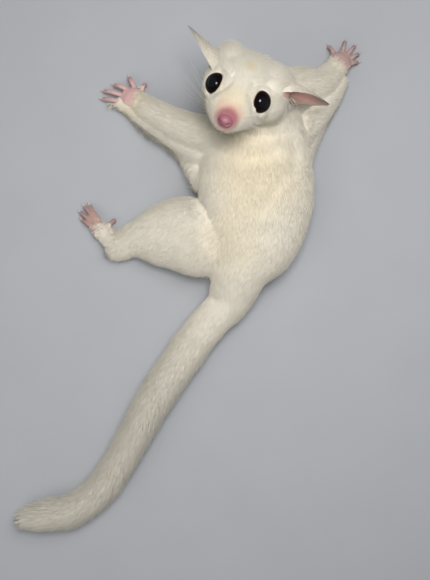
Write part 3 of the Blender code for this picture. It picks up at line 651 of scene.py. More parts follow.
LIMBS = (
    Limb(Region.TRUNK, BODY_FUR, (
        (19.0, 88.0, 20.0, 16.5, 17.0),
        (21.0, 77.0, 16.5, 21.0, 17.0),
        (20.0, 65.0, 16.0, 25.0, 17.0),
        (19.0, 53.0, 16.5, 27.5, 17.5),
        (19.0, 39.0, 16.5, 27.0, 17.5),
        (17.0, 23.0, 15.5, 23.0, 16.5),
        (11.5, 9.0, 13.5, 15.5, 14.5),
        (6.8, -4.0, 10.6, 11.6, 11.2),
        (1.0, -11.5, 9.6, 9.8, 9.6),
        (-5.0, -18.8, 9.0, 8.8, 8.6),
        (-10.5, -26.0, 8.8, 7.8, 7.8),
    ), 6, 48),
    Limb(Region.NECK, NECK_FUR, (
        (16.0, 92.0, 27.0, 15.5, 15.0),
        (19.5, 86.0, 21.0, 17.0, 17.0),
        (20.5, 76.0, 17.5, 19.0, 17.0),
    )),
    Limb(Region.ARM_LEFT, ARM_FUR, (
        (8.0, 69.0, 15.0, 12.5, 13.0),
        (-4.5, 71.5, 13.0, 10.5, 11.5),
        (-16.5, 76.3, 10.5, 9.0, 9.5),
        (-26.5, 82.3, 8.0, 7.6, 7.5),
        (-34.0, 87.3, 5.8, 6.6, 5.7),
        (-36.4, 88.8, 5.2, 6.2, 5.0),
    )),
    Limb(Region.ARM_RIGHT, ARM_RIGHT_FUR, (
        (28.0, 89.0, 15.0, 14.0, 13.5),
        (39.0, 92.5, 12.5, 12.2, 11.5),
        (49.0, 96.0, 9.5, 9.0, 9.0),
        (56.3, 104.0, 6.4, 6.2, 6.0),
    )),
    Limb(Region.ARM_RIGHT, ARM_RIGHT_FUR, (
        (34.0, 62.0, 12.4, 8.0, 12.0),
        (39.5, 72.0, 11.4, 8.2, 11.2),
        (45.5, 81.0, 9.8, 8.2, 9.8),
        (51.8, 90.0, 7.6, 7.6, 8.0),
        (57.6, 98.4, 5.4, 5.8, 6.0),
    ), 6, 24),
    Limb(Region.ARM_LEFT, ARM_FUR, (
        (-3.5, 62.0, 10.6, 8.4, 9.8),
        (-13.5, 69.2, 9.0, 7.8, 8.4),
        (-23.0, 75.8, 7.4, 7.0, 7.0),
        (-31.5, 81.6, 5.4, 6.4, 5.2),
        (-39.5, 87.2, 4.2, 5.2, 4.0),
        (-45.5, 89.8, 3.2, 4.0, 2.9),
    ), 6, 24),
    Limb(Region.ARM_LEFT, EDGE_LEFT_FUR, (
        (-50.0, 89.3, 2.2, 1.9, 2.0),
        (-43.5, 86.5, 3.0, 2.8, 3.2),
        (-36.0, 81.5, 3.4, 3.4, 3.8),
        (-29.0, 76.5, 4.0, 4.4, 4.4),
        (-20.0, 71.0, 4.8, 5.0, 5.2),
        (-12.0, 63.0, 6.5, 5.6, 7.0),
        (-5.5, 51.5, 9.5, 6.0, 9.5),
    ), 6, 24),
    Limb(Region.ARM_RIGHT, EDGE_RIGHT_FUR, (
        (60.3, 99.0, 3.8, 3.6, 4.2),
        (53.8, 89.0, 5.2, 5.2, 5.6),
        (47.5, 79.0, 7.0, 6.2, 7.4),
        (42.0, 67.0, 9.0, 6.0, 9.4),
        (38.5, 54.0, 11.5, 6.5, 11.0),
    ), 6, 24),
    Limb(Region.LEG_LEFT, LEG_FUR, (
        (10.0, 25.0, 14.0, 17.0, 14.5),
        (-3.5, 24.8, 13.0, 19.6, 13.5),
        (-15.5, 26.2, 11.0, 18.2, 11.5),
        (-26.5, 25.8, 9.0, 15.0, 9.5),
        (-36.0, 24.5, 7.2, 10.0, 7.5),
        (-44.0, 21.6, 5.5, 8.0, 5.8),
        (-48.2, 22.3, 4.6, 6.6, 4.8),
    )),
    Limb(Region.LEG_RIGHT, LEG_RIGHT_FUR, (
        (20.0, 18.0, 14.0, 12.0, 13.0),
        (30.0, 26.5, 16.0, 11.5, 11.5),
        (36.5, 38.0, 16.5, 9.6, 11.0),
    )),
    Limb(Region.TAIL, TAIL_FUR, (
        (10.5, 2.0, 11.0, 11.6, 12.0),
        (2.2, -9.5, 9.7, 11.0, 10.6),
        (-6.4, -19.6, 9.2, 10.2, 9.6),
        (-14.7, -31.0, 8.8, 9.6, 9.1),
        (-22.7, -42.4, 8.7, 9.5, 9.0),
        (-30.1, -54.1, 8.5, 9.2, 8.9),
        (-36.8, -66.2, 8.4, 8.8, 8.8),
        (-44.1, -79.0, 8.2, 8.5, 8.6),
        (-52.7, -91.9, 8.0, 8.5, 8.4),
        (-65.0, -102.4, 7.7, 8.5, 8.1),
        (-77.5, -105.6, 7.4, 8.2, 7.8),
        (-86.5, -107.0, 6.6, 6.8, 6.8),
    )),
)
TAIL_NUMBER = len(LIMBS) - 1
HEAD_FUR = Fur(3.0, 0.20, 18.0, 0.8, 22.0)
NO_FUR = Fur(0, 0, 0, 0, 0)


@dataclass(frozen=True)
class Crease:
    """A fold of the skin, seen from above, in mm. A negative depth is a ridge."""

    points: tuple[tuple[float, float], ...]
    depth: float
    width: float


CREASES = (
    Crease(((-4.0, 65.2), (5.7, 61.9), (17.0, 59.9), (26.5, 62.4), (32.7, 67.6)), 0.55, 3.6),
    Crease(((34.0, 56.1), (29.5, 49.5), (24.4, 41.0), (18.6, 31.5)), 0.60, 3.4),
    Crease(((37.5, 79.5), (39.3, 64.0), (39.7, 48.6)), -0.7, 3.2),
    Crease(((34.0, 79.0), (35.8, 64.0), (36.0, 49.5)), 0.6, 3.0),
    Crease(((-8.4, 42.8), (-6.2, 39.3), (-4.0, 35.3)), 0.55, 1.8),
    Crease(((-5.3, 34.4), (-1.8, 24.3), (4.0, 15.9)), 0.45, 3.0),
)


class Skin:
    """The one skin of the animal, with its folds, eye sockets, mouth and the pits of its ears."""

    body_voxel = 0.00078
    body_rounds = 8
    head_voxel = 0.00060
    head_rounds = 20
    skull_steps = 6
    skull_sides = 56
    skull_poles = (1.4, 3.0)  # how far the front and the back pole stand out, mm
    fold_steps = 40
    lid_rise = 0.34
    socket_sink = 0.9
    socket_reach = 9.0
    # Degrees outside the opening of the lids between which one form of the socket gives way to another.
    socket_edge = (3.0, 11.0)
    rim_edge = (14.0, 55.0)
    funnel_start = 7.0
    funnel_slope = 0.10  # mm for each degree

    def build(self) -> Shape:
        """Fuses trunk, limbs, tail and head, then works the folds and the face into the surface.

        Returns:
            The skin as triangles.
        """
        head = fused([self.skull(), *self.swellings()], self.head_voxel, self.head_rounds)
        shape = fused([*(limb.solid() for limb in LIMBS), head], self.body_voxel, self.body_rounds)
        shape.points = self.folded(shape)
        shape.points = self.sockets(shape.points)
        shape.points = self.mouth(shape.points)
        for ear in EARS:
            shape.points = shape.points - (ear.axis @ HEAD.axes) * ear.pit(shape.points)[0][:, None] * MM
        shape.points[:, 2] = np.maximum(shape.points[:, 2], FLOOR_CLEAR)
        return shape

    def swellings(self) -> list[Shape]:
        """The cheek and the roots of the ears, as ellipsoids: centre plus radii times a unit way.

        Returns:
            One closed shape for each swelling.
        """
        way = sphere(26, 40)
        made = []
        for centre, radii in SWELLINGS:
            size = np.array(radii) - HEAD_FUR.depth
            ends = [HEAD.world(np.array(centre) + size * (s, 0, 0)) for s in (1, -1)]
            made.append(closed_grid(HEAD.world(np.array(centre) + way * size), ends[0], ends[1]))
        return made

    def skull(self) -> Shape:
        """The head's skin: ovals across its length whose upper and lower halves differ.

        Returns:
            The closed skull.
        """
        rows = smooth_rows(SKULL, (len(SKULL) - 1) * self.skull_steps + 1)
        turn = turns(self.skull_sides)[None, :]
        thin = HEAD_FUR.depth * (0.25 + 0.75 * fade(-rows[:, :1], -14.0, -4.0))
        height = np.where(np.sin(turn) > 0, rows[:, 2:3], rows[:, 3:4]) - thin
        wide = (rows[:, 4:5] - thin) * np.cos(turn)
        ahead = np.broadcast_to(rows[:, :1], wide.shape)
        rings = HEAD.world(np.stack([ahead, wide, rows[:, 1:2] + height * np.sin(turn)], axis=-1))
        front = HEAD.world((rows[0, 0] + self.skull_poles[0], 0.0, rows[0, 1]))
        back = HEAD.world((rows[-1, 0] - self.skull_poles[1], 0.0, rows[-1, 1]))
        return closed_grid(rings, front, back)

    def folded(self, shape: Shape) -> Array:
        """Presses each crease into the upper side: depth times exp of minus (distance / width) squared.

        Args:
            shape: The skin.

        Returns:
            The skin's points after it.
        """
        points = shape.points.copy()
        normals = point_normals(shape)
        plan = (points - HEAD.shift)[:, :2] / MM
        above = fade(normals[:, 2], 0.0, 0.5)
        away = fade(distances(HEAD.local(points), (-8.0, 0.0, 0.0)), 18.0, 24.0)
        for crease in CREASES:
            line = smooth_rows(crease.points, self.fold_steps)
            near = np.full(len(plan), np.inf)
            share = np.zeros(len(plan))
            for place, (x, y) in enumerate(line):
                distance = np.hypot(plan[:, 0] - x, plan[:, 1] - y)
                share = np.where(distance < near, place / (self.fold_steps - 1), share)
                near = np.minimum(near, distance)
            ends = fade(share, 0.0, 0.25) * fade(1.0 - share, 0.0, 0.25)
            press = crease.depth * MM * bell(near, crease.width) * above * away * ends
            points -= normals * press[:, None]
        return points

    def sockets(self, points: Array) -> Array:
        """Raises a rim of skin round each eye and sinks the skin behind the eyeball.

        Args:
            points: The skin's points.

        Returns:
            The points after it.
        """
        for gaze in GAZES:
            radius, beyond = gaze.beyond(points)
            inside = 1.0 - fade(beyond, *self.socket_edge)
            rim = (EYE_RADIUS + self.lid_rise) * MM * (1.0 - 0.5 * fade(beyond, *self.rim_edge))
            slope = self.funnel_slope * np.maximum(beyond - self.funnel_start, 0.0)
            funnel = (EYE_RADIUS + self.lid_rise + slope) * MM
            kept = np.minimum(np.maximum(radius, rim), funnel)
            wanted = kept * (1.0 - inside) + (EYE_RADIUS - self.socket_sink) * MM * inside
            close = radius < self.socket_reach * MM
            way = unit(points - gaze.centre)
            points = np.where(close[:, None], gaze.centre + way * wanted[:, None], points)
        return points

    def mouth(self, points: Array) -> Array:
        """Cuts the line of the mouth round the muzzle and rounds the lips on both sides of it.

        Args:
            points: The skin's points.

        Returns:
            The points after it.
        """
        place = HEAD.local(points)
        near = Mouth.distance(place)
        groove = 0.55 * bell(near, 0.45)
        lips = 0.25 * bell(near - 1.1, 0.6)
        middle = np.stack([place[:, 0] - 3.0, np.zeros(len(place)), np.full(len(place), -5.0)], axis=1)
        out = unit(place - middle)
        return HEAD.world(place + out * (lips - groove)[:, None])


class Mouth:
    """The line of the mouth: a curve round the underside of the muzzle from corner to corner."""

    front = 16.2  # its middle and its corners, mm ahead of the head's origin
    corner = 4.5
    turn = 58.0  # degrees round the muzzle from its middle to a corner

    @classmethod
    def line(cls) -> Array:
        """Points of the line in the head's frame, mm.

        Returns:
            The points from one corner to the other.
        """
        share = np.linspace(-1, 1, 49)
        ahead = cls.front - (cls.front - cls.corner) * np.abs(share) ** 1.7
        angle = -math.pi / 2 + np.radians(cls.turn) * share
        rows = np.array(SKULL)[::-1]
        level, below, half = (np.interp(ahead, rows[:, 0], rows[:, c]) for c in (1, 3, 4))
        return np.stack([ahead, half * np.cos(angle), level + below * np.sin(angle)], axis=1)

    @classmethod
    def distance(cls, place: Array) -> Array:
        """Distance from the line, mm.

        Args:
            place: Points in the head's frame, mm.

        Returns:
            The distances, 50 where a point is far from the muzzle.
        """
        near = np.full(len(place), 50.0)
        close = np.flatnonzero((place[:, 0] > 0) & (place[:, 0] < 20) & (np.abs(place[:, 1]) < 12))
        gaps = np.linalg.norm(place[close, None] - cls.line()[None], axis=2)
        near[close] = gaps.min(axis=1)
        return near


@dataclass(frozen=True)
class Digit:
    """A finger or toe: base and tip in the plan, height of its knuckle and radius, mm."""

    base: tuple[float, float]
    tip: tuple[float, float]
    knuckle: float
    radius: float
    clawed: bool = True


@dataclass(frozen=True)
class Extremity:
    """A hand or foot with its digits and claws, in the plan, mm but for the voxel, which is in metres."""

    name: str
    palm: Row
    wrist: Row
    half: float
    digits: tuple[Digit, ...]
    tip_height: float = 1.1
    voxel: float = 0.0004
    furred: tuple[float, float] = (-0.25, 0.85)  # where bare skin begins and is full, wrist 0 to palm 1
    steps: int = 25

    def path(self, digit: Digit) -> Array:
        """The middle line of a digit in the plan, mm.

        Args:
            digit: The finger or toe.

        Returns:
            Points from inside the palm over the knuckle to the tip.
        """
        base = np.array((*digit.base, self.palm[2]))
        tip = np.array((*digit.tip, self.tip_height))
        middle = base * 0.45 + tip * 0.55
        middle[2] = digit.knuckle
        inside = (np.array(self.palm) + base) / 2
        return smooth_rows([tuple(inside), tuple(base), tuple(middle), tuple(tip)], self.steps)

    def skin(self) -> Shape:
        """Palm and digits as one skin: each digit swells at its joint and at the pad of its tip.

        Returns:
            The closed skin.
        """
        palm, wrist = np.array(self.palm), np.array(self.wrist)
        reach = palm - wrist
        half = self.half - 0.15
        rows = (
            (*(wrist - reach * 0.25), half * 0.80, wrist[2] * 0.74),
            (*(wrist + reach * 0.1), half * 0.92, wrist[2] * 0.84),
            (*(wrist + reach * 0.6), half, palm[2] * 0.93),
            (*palm, half * 0.98, palm[2] * 0.88),
            (*(palm + reach * 0.28), half * 0.8, palm[2] * 0.70),
        )
        # The palm is built as one more limb. Its region isn't read.
        solids = [Limb(Region.ARM_LEFT, NO_FUR, rows, 8, 28).solid()]
        share = np.linspace(0, 1, self.steps)
        for digit in self.digits:
            pad = 1.0 - 0.36 * share + 0.26 * bell(share - 0.94, 0.07)
            joints = 0.13 * bell(share - 0.58, 0.06) + 0.10 * bell(share - 0.79, 0.05)
            radii = (digit.radius - 0.12) * (pad + joints) * MM
            solids.append(rod(HEAD.plan(self.path(digit)), radii, 14))
        shape = fused(solids, self.voxel, 3)
        shape.points[:, 2] = np.maximum(shape.points[:, 2], 0.0)
        return shape

    def from_tips(self, points: Array) -> Array:
        """Distance of each world point from the nearest tip of a digit, mm."""
        tips = HEAD.plan([(*digit.tip, self.tip_height) for digit in self.digits])
        return np.linalg.norm(points[:, None] - tips[None], axis=2).min(axis=1) / MM

    def bare(self, points: Array) -> Array:
        """How bare the skin is.

        Args:
            points: World places.

        Returns:
            0 before the wrist, 1 on the palm and 1 at the tips of the digits.
        """
        wrist = HEAD.plan(self.wrist)
        reach = HEAD.plan(self.palm) - wrist
        along = ((points - wrist) @ reach) / (reach @ reach)
        grown = fade(along + 0.20 * sway(points, 0.004, 2.0), *self.furred)
        return np.maximum(grown, 1.0 - fade(self.from_tips(points), 3.6, 5.2))

    def pale(self, points: Array) -> Array:
        """How near each point is to the tip of a digit, 1 at the tip."""
        return bell(self.from_tips(points), 3.4)

    def claws(self) -> Shape:
        """Short hooked claws: an arc over the tip of each digit that thins to a point.

        Returns:
            All claws as one shape.
        """
        made = []
        for digit in self.digits:
            if not digit.clawed:
                continue
            tip = np.array((*digit.tip, self.tip_height))
            along = unit(tip - np.array((*digit.base, self.tip_height)))
            share = np.linspace(0, 1, 9)
            path = tip + along * (share[:, None] * 2.5 - 0.5)
            path[:, 2] = self.tip_height + 0.15 + 0.80 * np.sin(share * 2.4) - 0.85 * share**2
            radii = 0.50 * (1.0 - 0.9 * share) * MM
            made.append(rod(HEAD.plan(path), radii, 10, 2.0, 1.25))
        return joined(made)


EXTREMITIES = (
    Extremity("hand_left", (-40.6, 91.6, 3.8), (-35.0, 88.0, 5.4), 5.6, (
        Digit((-35.2, 94.8), (-33.4, 98.2), 3.6, 1.5),
        Digit((-38.2, 96.0), (-41.0, 101.4), 4.2, 1.4),
        Digit((-42.4, 95.6), (-48.0, 97.8), 4.4, 1.4),
        Digit((-44.8, 92.8), (-53.0, 95.0), 4.2, 1.4),
        Digit((-45.2, 89.6), (-53.8, 91.3), 3.8, 1.35),
    )),
    Extremity("hand_right", (60.0, 108.6, 4.6), (55.8, 103.4, 6.6), 5.6, (
        Digit((57.0, 110.6), (54.4, 116.4), 4.6, 1.35),
        Digit((60.0, 111.4), (62.2, 118.8), 5.2, 1.25),
        Digit((62.2, 110.8), (66.8, 116.6), 5.4, 1.25),
        Digit((63.4, 108.8), (68.6, 112.8), 5.2, 1.25),
        Digit((63.0, 106.6), (68.4, 108.8), 4.6, 1.2),
    )),
    Extremity("foot_left", (-54.8, 29.0, 3.4), (-47.5, 22.6, 4.8), 4.3, (
        Digit((-51.6, 29.6), (-48.0, 33.4), 3.2, 1.5, False),
        Digit((-54.6, 32.6), (-60.0, 40.6), 3.6, 1.2),
        Digit((-56.2, 32.6), (-62.6, 40.0), 3.6, 1.2),
        Digit((-57.6, 31.6), (-64.4, 37.2), 3.6, 1.3),
        Digit((-58.0, 29.6), (-63.6, 33.6), 3.4, 1.25),
    ), furred=(0.0, 1.7)),
    Extremity("foot_right", (37.6, 32.0, 2.3), (34.2, 23.5, 2.4), 4.3, (
        Digit((35.0, 34.6), (33.4, 38.6), 2.2, 1.3, False),
        Digit((37.0, 36.4), (37.6, 44.2), 2.4, 1.1),
        Digit((38.6, 36.2), (40.0, 44.6), 2.4, 1.1),
        Digit((40.0, 35.4), (42.4, 43.0), 2.4, 1.2),
        Digit((41.0, 33.6), (44.2, 40.0), 2.2, 1.15),
    ), furred=(0.0, 1.7)),
)


class Lie:
    """The lie of the fur: for any place on the skin the nearest limb, its fur and its direction."""

    head_steps = 40
    block = 20000  # places read at a time
    power = 8  # of each limb's radius over its distance, as a weight

    def __init__(self) -> None:
        """Samples the middle line of every limb and of the head."""
        places, ways, sizes, kinds, shares = [], [], [], [], []
        self.furs = [limb.fur for limb in LIMBS] + [HEAD_FUR]
        self.regions = [limb.region for limb in LIMBS] + [Region.HEAD]
        for number, limb in enumerate(LIMBS):
            rows = limb.line()
            along = unit(np.gradient(rows[:, :3], axis=0))
            way = unit(along * limb.fur.along + np.array(limb.fur.bias))
            places.append(rows[:, :3])
            ways.append(way)
            sizes.append(rows[:, 3:5].mean(axis=1))
            kinds.append(np.full(len(rows), number))
            shares.append(np.linspace(0, 1, len(rows)))
        rows = smooth_rows(SKULL, self.head_steps)
        middle = np.stack([rows[:, 0], 0 * rows[:, 0], rows[:, 1] + (rows[:, 2] - rows[:, 3]) / 2], axis=1)
        places.append(HEAD.world(middle))
        ways.append(np.tile(-HEAD.forward, (self.head_steps, 1)))
        sizes.append(rows[:, 2:5].mean(axis=1) * MM)
        kinds.append(np.full(self.head_steps, len(LIMBS)))
        shares.append(np.linspace(0, 1, self.head_steps))
        self.places, self.ways = np.vstack(places), np.vstack(ways)
        self.sizes, self.kinds = np.concatenate(sizes), np.concatenate(kinds)
        self.shares = np.concatenate(shares)

    def read(self, points: Array) -> tuple[Array, Array, Array, Array]:
        """Reads the lie at many places.

        The direction is the mean of all samples' directions, each weighed by its limb's radius over
        its distance, to a power.  Fur that runs towards an eye parts and passes above and below it, and
        fur behind an ear turns to run out along the ear.

        Args:
            points: Places on the skin.

        Returns:
            Directions, the number of the nearest limb, and two shares: along and round the limb.
        """
        ways = np.empty((len(points), 3))
        nearest = np.empty(len(points), int)
        for start in range(0, len(points), self.block):
            part = slice(start, start + self.block)
            gaps = np.linalg.norm(points[part, None] - self.places[None], axis=2)
            weight = (self.sizes[None] / np.maximum(gaps, 1e-4)) ** self.power
            ways[part] = weight @ self.ways
            nearest[part] = weight.argmax(axis=1)
        ways = unit(ways)
        for gaze in GAZES:
            away = points - gaze.centre
            gap = np.linalg.norm(away, axis=1)
            close = (1.0 - fade(gap, 5.5 * MM, 11.0 * MM))[:, None]
            outward = unit(away)
            toward = np.maximum(-(ways * outward).sum(axis=1, keepdims=True), 0.0)
            parting = gaze.upward * np.tanh((away @ gaze.upward)[:, None] / MM)
            ways = unit(ways + close * (toward * (outward + 0.8 * parting) + 0.25 * outward))
        for ear in EARS:
            close = (1.0 - fade(distances(HEAD.local(points), ear.root), 5.0, 12.0)) * ear.behind(points)
            ways = ways + (ear.axis @ HEAD.axes) * (1.5 * close)[:, None]
        out = points - self.places[nearest]
        way = self.ways[nearest]
        aside = unit(np.cross(way, UP) + 1e-6)
        upward = np.cross(aside, way)
        angle = np.arctan2((out * upward).sum(axis=1), (out * aside).sum(axis=1))
        return unit(ways), self.kinds[nearest], self.shares[nearest], angle / (2 * math.pi) + 0.5


class Tuft(Enum):
    """Shapes of a tuft: the shares of its length at which its rings and its tip stand."""

    BENT = (0.0, 0.52, 1.0)
    STRAIGHT = (0.0, 1.0)

    def faces(self) -> Array:
        """Triangles of one tuft: two for each side between its rings and one for each at its tip.

        Returns:
            Three point numbers for each triangle.
        """
        made = []
        rings = len(self.value) - 1
        for ring in range(rings):
            for corner in range(3):
                here, after = 3 * ring + corner, 3 * ring + (corner + 1) % 3
                if ring < rings - 1:
                    made += [(here, after, after + 3), (here, after + 3, here + 3)]
                else:
                    made.append((here, after, 3 * rings))
        return np.array(made)


class Coat:
    """Tufts of fur over the skin, each a thin three-sided spike that lies along the body."""

    seed = 11
    most_faces = 198000
    patch = 0.003  # share of the unwrapped piece that a tuft covers
    clump = 0.0017  # distance between the middles of clumps, metres
    mixing = np.array((12.9898, 78.233, 37.719))  # numbers that scatter the middles of the clumps
    spreading = np.array((43758.5, 22578.1, 19642.3))
    rooted = 0.045  # share of its length that a tuft stands in the skin
    bend = 0.45
    half_widths = (0.36, 0.5)  # at the root and middle of a bent tuft; a straight one has the last
    own_normal = 0.16  # share of a tuft's own shading; the rest is the skin's
    under = 0.85  # share of the tufts left out where the skin faces the floor
    swing = 0.12  # how far the lie swings in waves, and by chance
    swing_chance = 0.11

    def __init__(self, shape: Shape, bare: Array, share: float) -> None:
        """Starts the coat's random draws and reads the lie of the fur.

        Args:
            shape: The skin.
            bare: How bare each of its points is.
            share: Share of the tufts that is grown.
        """
        self.shape = shape
        self.bare = bare
        self.share = share
        self.random = np.random.default_rng(self.seed)
        self.lie = Lie()

    def roots(self) -> tuple[Array, Array]:
        """Spreads the roots by area and by how thick the fur grows.

        Returns:
            The places, and the skin's outward way at each.
        """
        faces = self.shape.faces[0]
        corners = self.shape.points[faces]
        middle = corners.mean(axis=1)
        area = np.linalg.norm(face_ways(corners), axis=1) / 2
        normals = point_normals(self.shape)
        _, kinds, _, _ = self.lie.read(middle)
        thick = np.array([fur.per_mm2 for fur in self.lie.furs])[kinds]
        facing = normals[faces].mean(axis=1)[:, 2]
        thick = thick * (1.0 - self.under * fade(-facing, 0.35, 0.8))
        thick = thick * self.kept(middle) * (1.0 - self.bare[faces].mean(axis=1))
        wanted = area / MM**2 * thick * self.share
        count = np.floor(wanted + self.random.random(len(wanted))).astype(int)
        picked = np.repeat(np.arange(len(faces)), count)
        a, b = self.random.random(len(picked)), self.random.random(len(picked))
        over = a + b > 1
        a, b = np.where(over, 1 - a, a), np.where(over, 1 - b, b)
        weights = np.stack([1 - a - b, a, b], axis=1)[..., None]
        places = (corners[picked] * weights).sum(axis=1)
        ways = unit((normals[faces[picked]] * weights).sum(axis=1))
        return places, ways

    def kept(self, points: Array) -> Array:
        """The share of fur that grows at a place: none on the nose, along the mouth, in eyes and ears.

        Args:
            points: World places.

        Returns:
            The share at each.
        """
        place = HEAD.local(points)
        from_nose = distances(place, NOSE_CENTRE)
        share = (0.4 + 0.6 * fade(from_nose, 4.0, 7.0)) * fade(from_nose, 3.0, 4.0)
        share = share * fade(Mouth.distance(place), 0.3, 0.8)
        for ear in EARS:
            share = share * (1.0 - ear.pit(points)[1])
        for gaze in GAZES:
            radius, beyond = gaze.beyond(points)
            share = np.where(radius < 7.5 * MM, share * (beyond > 4.0), share)
        return share

    def build(self) -> list[bpy.types.Object]:
        """Grows the coat, region by region.

        Returns:
            The coat's pieces, each with no more than most_faces triangles.
        """
        roots, normals = self.roots()
        ways, kinds, shares, rounds = self.lie.read(roots)
        regions = np.array([region.value for region in self.lie.regions])[kinds]
        pieces = []
        for region in Region:
            chosen = np.flatnonzero(regions == region.value)
            chosen = chosen[np.argsort(shares[chosen], kind="stable")]
            tuft = Tuft.STRAIGHT if region is Region.HEAD else Tuft.BENT
            parts = max(1, math.ceil(len(chosen) * len(tuft.faces()) / self.most_faces))
            for number, part in enumerate(np.array_split(chosen, parts)):
                if len(part) == 0:
                    continue
                name = f"coat_{region.value}_{number + 1}"
                atlas = np.stack([rounds[part], shares[part]], axis=1)
                tight = np.array([fur.clump for fur in self.lie.furs])[kinds[part]]
                sizes = (*self.sizes(roots[part], kinds[part], shares[part]), tight)
                pieces.append(self.tufts(name, tuft, roots[part], normals[part], ways[part], sizes, atlas))
                LOG.info("%s: %d tufts", name, len(part))
        return pieces

    def down(self, name: str, ear: Ear, count: int) -> bpy.types.Object:
        """Short down on the back of an ear, thick at its root and gone before its tip.

        Args:
            name: The piece's name.
            ear: The ear.
            count: Number of tufts.

        Returns:
            The piece.
        """
        leaf = HEAD.world(ear.leaf(0.0))
        step_out, step_aside = np.gradient(leaf, axis=0), np.gradient(leaf, axis=1)
        normal = unit(np.cross(step_aside, step_out))
        normal = normal * np.sign((normal * -(ear.opening @ HEAD.axes)).sum(axis=-1, keepdims=True).mean())
        reach = ear.buried_rows + (ear.rows - ear.buried_rows) * 0.75 * self.random.random(count) ** 1.8
        row = np.minimum(reach.astype(int), ear.rows - 2)
        column = self.random.integers(0, ear.columns - 1, count)
        part, over = (reach - row)[:, None], self.random.random((count, 1))
        roots = leaf[row, column] + step_out[row, column] * part + step_aside[row, column] * over
        ways = unit(step_out[row, column])
        share = reach / ear.rows
        length = (3.0 - 2.6 * share) * (0.7 + 0.6 * self.random.random(count)) * MM
        sizes = (length, np.full(count, 0.15 * MM), np.full(count, math.radians(16.0)), np.full(count, 0.1))
        atlas = np.stack([column / ear.columns, share], axis=1)
        return self.tufts(name, Tuft.STRAIGHT, roots, normal[row, column], ways, sizes, atlas)

    def sizes(self, roots: Array, kinds: Array, shares: Array) -> tuple[Array, Array, Array]:
        """Length, width and lean of each tuft; those on the face shorten towards the nose and eyes.

        Args:
            roots: Where the tufts grow.
            kinds: Number of each one's limb.
            shares: Each one's share of the way along its limb.

        Returns:
            Length and width in metres and lean in radians.
        """
        table = np.array([(fur.length, fur.width, fur.lean) for fur in self.lie.furs])
        length, width, lean = table[kinds].T
        place = HEAD.local(roots)
        shorter = 0.32 + 0.68 * fade(distances(place, NOSE_CENTRE), 3.5, 17.0)
        for side in (1, -1):
            from_eye = distances(place, np.array(EYE_CENTRE) * (1, side, 1))
            shorter = shorter * (0.72 + 0.28 * fade(from_eye, 5.0, 10.0))
        raised = bell(distances(place, BROW_TUFT), 4.5)
        for ear in EARS:
            behind = ear.behind(roots)
            near = bell(distances(place, ear.root), 8.0)
            raised = np.maximum(raised, 0.9 * near * behind)
            shorter = shorter * (1.0 - 0.5 * near * (1.0 - behind))
        on_head = kinds == len(LIMBS)
        length = np.where(on_head, length * (shorter + 1.2 * raised), length)
        width = np.where(on_head, width * (0.6 + 0.4 * shorter), width)
        lean = lean + 14.0 * raised
        grown = np.where(kinds == TAIL_NUMBER, fade(shares, 0.03, 0.25), 1.0)
        length = length * (0.75 + 0.25 * grown)
        lean = lean * (0.40 + 0.60 * grown)
        for extremity in EXTREMITIES:
            from_hand = distances(roots, HEAD.plan(extremity.palm)) / MM
            length = length * (0.30 + 0.70 * fade(from_hand, 4.0, 14.0))
        draw = self.random.random((3, len(roots)))
        length = length * (0.70 + 0.55 * draw[0])
        width = width * (0.75 + 0.5 * draw[1])
        lean = np.radians(lean * (0.55 + 0.9 * draw[2]) + 5.0 * sway(roots, 0.009, 4.0))
        return length * MM, width * MM, lean

    def tufts(
        self,
        name: str,
        tuft: Tuft,
        roots: Array,
        normals: Array,
        ways: Array,
        sizes: Sequence[Array],
        atlas: Array,
    ) -> bpy.types.Object:
        """Builds one piece of the coat.

        A tuft's middle line leaves the skin at its lean and bends down to lie along it: the height at
        share s of its length is length times sin(lean) times (s - bend s squared).

        Args:
            name: The piece's name.
            tuft: The shape of its tufts.
            roots: Where the tufts grow.
            normals: The outward way at each root.
            ways: The lie of the fur at each root.
            sizes: Length, width and lean of each tuft, and how far it is drawn to its neighbours.
            atlas: Place of each root on the unwrapped limb: share round it and share along it.

        Returns:
            The piece.
        """
        length, width, lean, tight = sizes
        way = unit(ways - normals * (ways * normals).sum(axis=1, keepdims=True))
        side = np.cross(normals, way)
        chance = self.random.normal(0.0, self.swing_chance, len(roots))
        swing = self.swing * sway(roots, 0.014, 1.0) + chance
        way = unit(way + side * swing[:, None])
        side = np.cross(normals, way)
        cell = np.floor(roots / self.clump)
        mark = np.sin(cell @ self.mixing)[:, None] * self.spreading
        centre = (cell + 0.5 + 0.6 * (mark - np.floor(mark) - 0.5)) * self.clump
        pull = centre - roots
        pull -= normals * (pull * normals).sum(axis=1, keepdims=True)
        share = np.array(tuft.value)
        rings = len(share) - 1
        corners = 3 * rings + 1
        rise = np.sin(lean)[:, None] * (share - self.bend * share**2)
        run = np.cos(lean)[:, None] * share
        middle = roots[:, None] - normals[:, None] * (self.rooted * length)[:, None, None]
        reach = way[:, None] * run[..., None] + normals[:, None] * rise[..., None]
        middle = middle + reach * length[:, None, None]
        middle = middle + pull[:, None] * (tight[:, None] * share**1.5)[..., None]
        along = unit(np.gradient(middle, axis=1))
        broad = np.broadcast_to(side[:, None], along.shape)
        thick = np.cross(along, broad)
        angle = np.radians((90.0, 210.0, 330.0))
        wide = width[:, None] * np.array(self.half_widths)[-rings:]
        ring = np.cos(angle)[None, None, :, None] * broad[:, :rings, None]
        ring = ring + 0.5 * np.sin(angle)[None, None, :, None] * thick[:, :rings, None]
        circles = middle[:, :rings, None] + ring * wide[:, :, None, None]
        points = np.concatenate([circles.reshape(len(roots), 3 * rings, 3), middle[:, rings:]], axis=1)
        points[..., 2] = np.maximum(points[..., 2], TUFT_CLEAR)
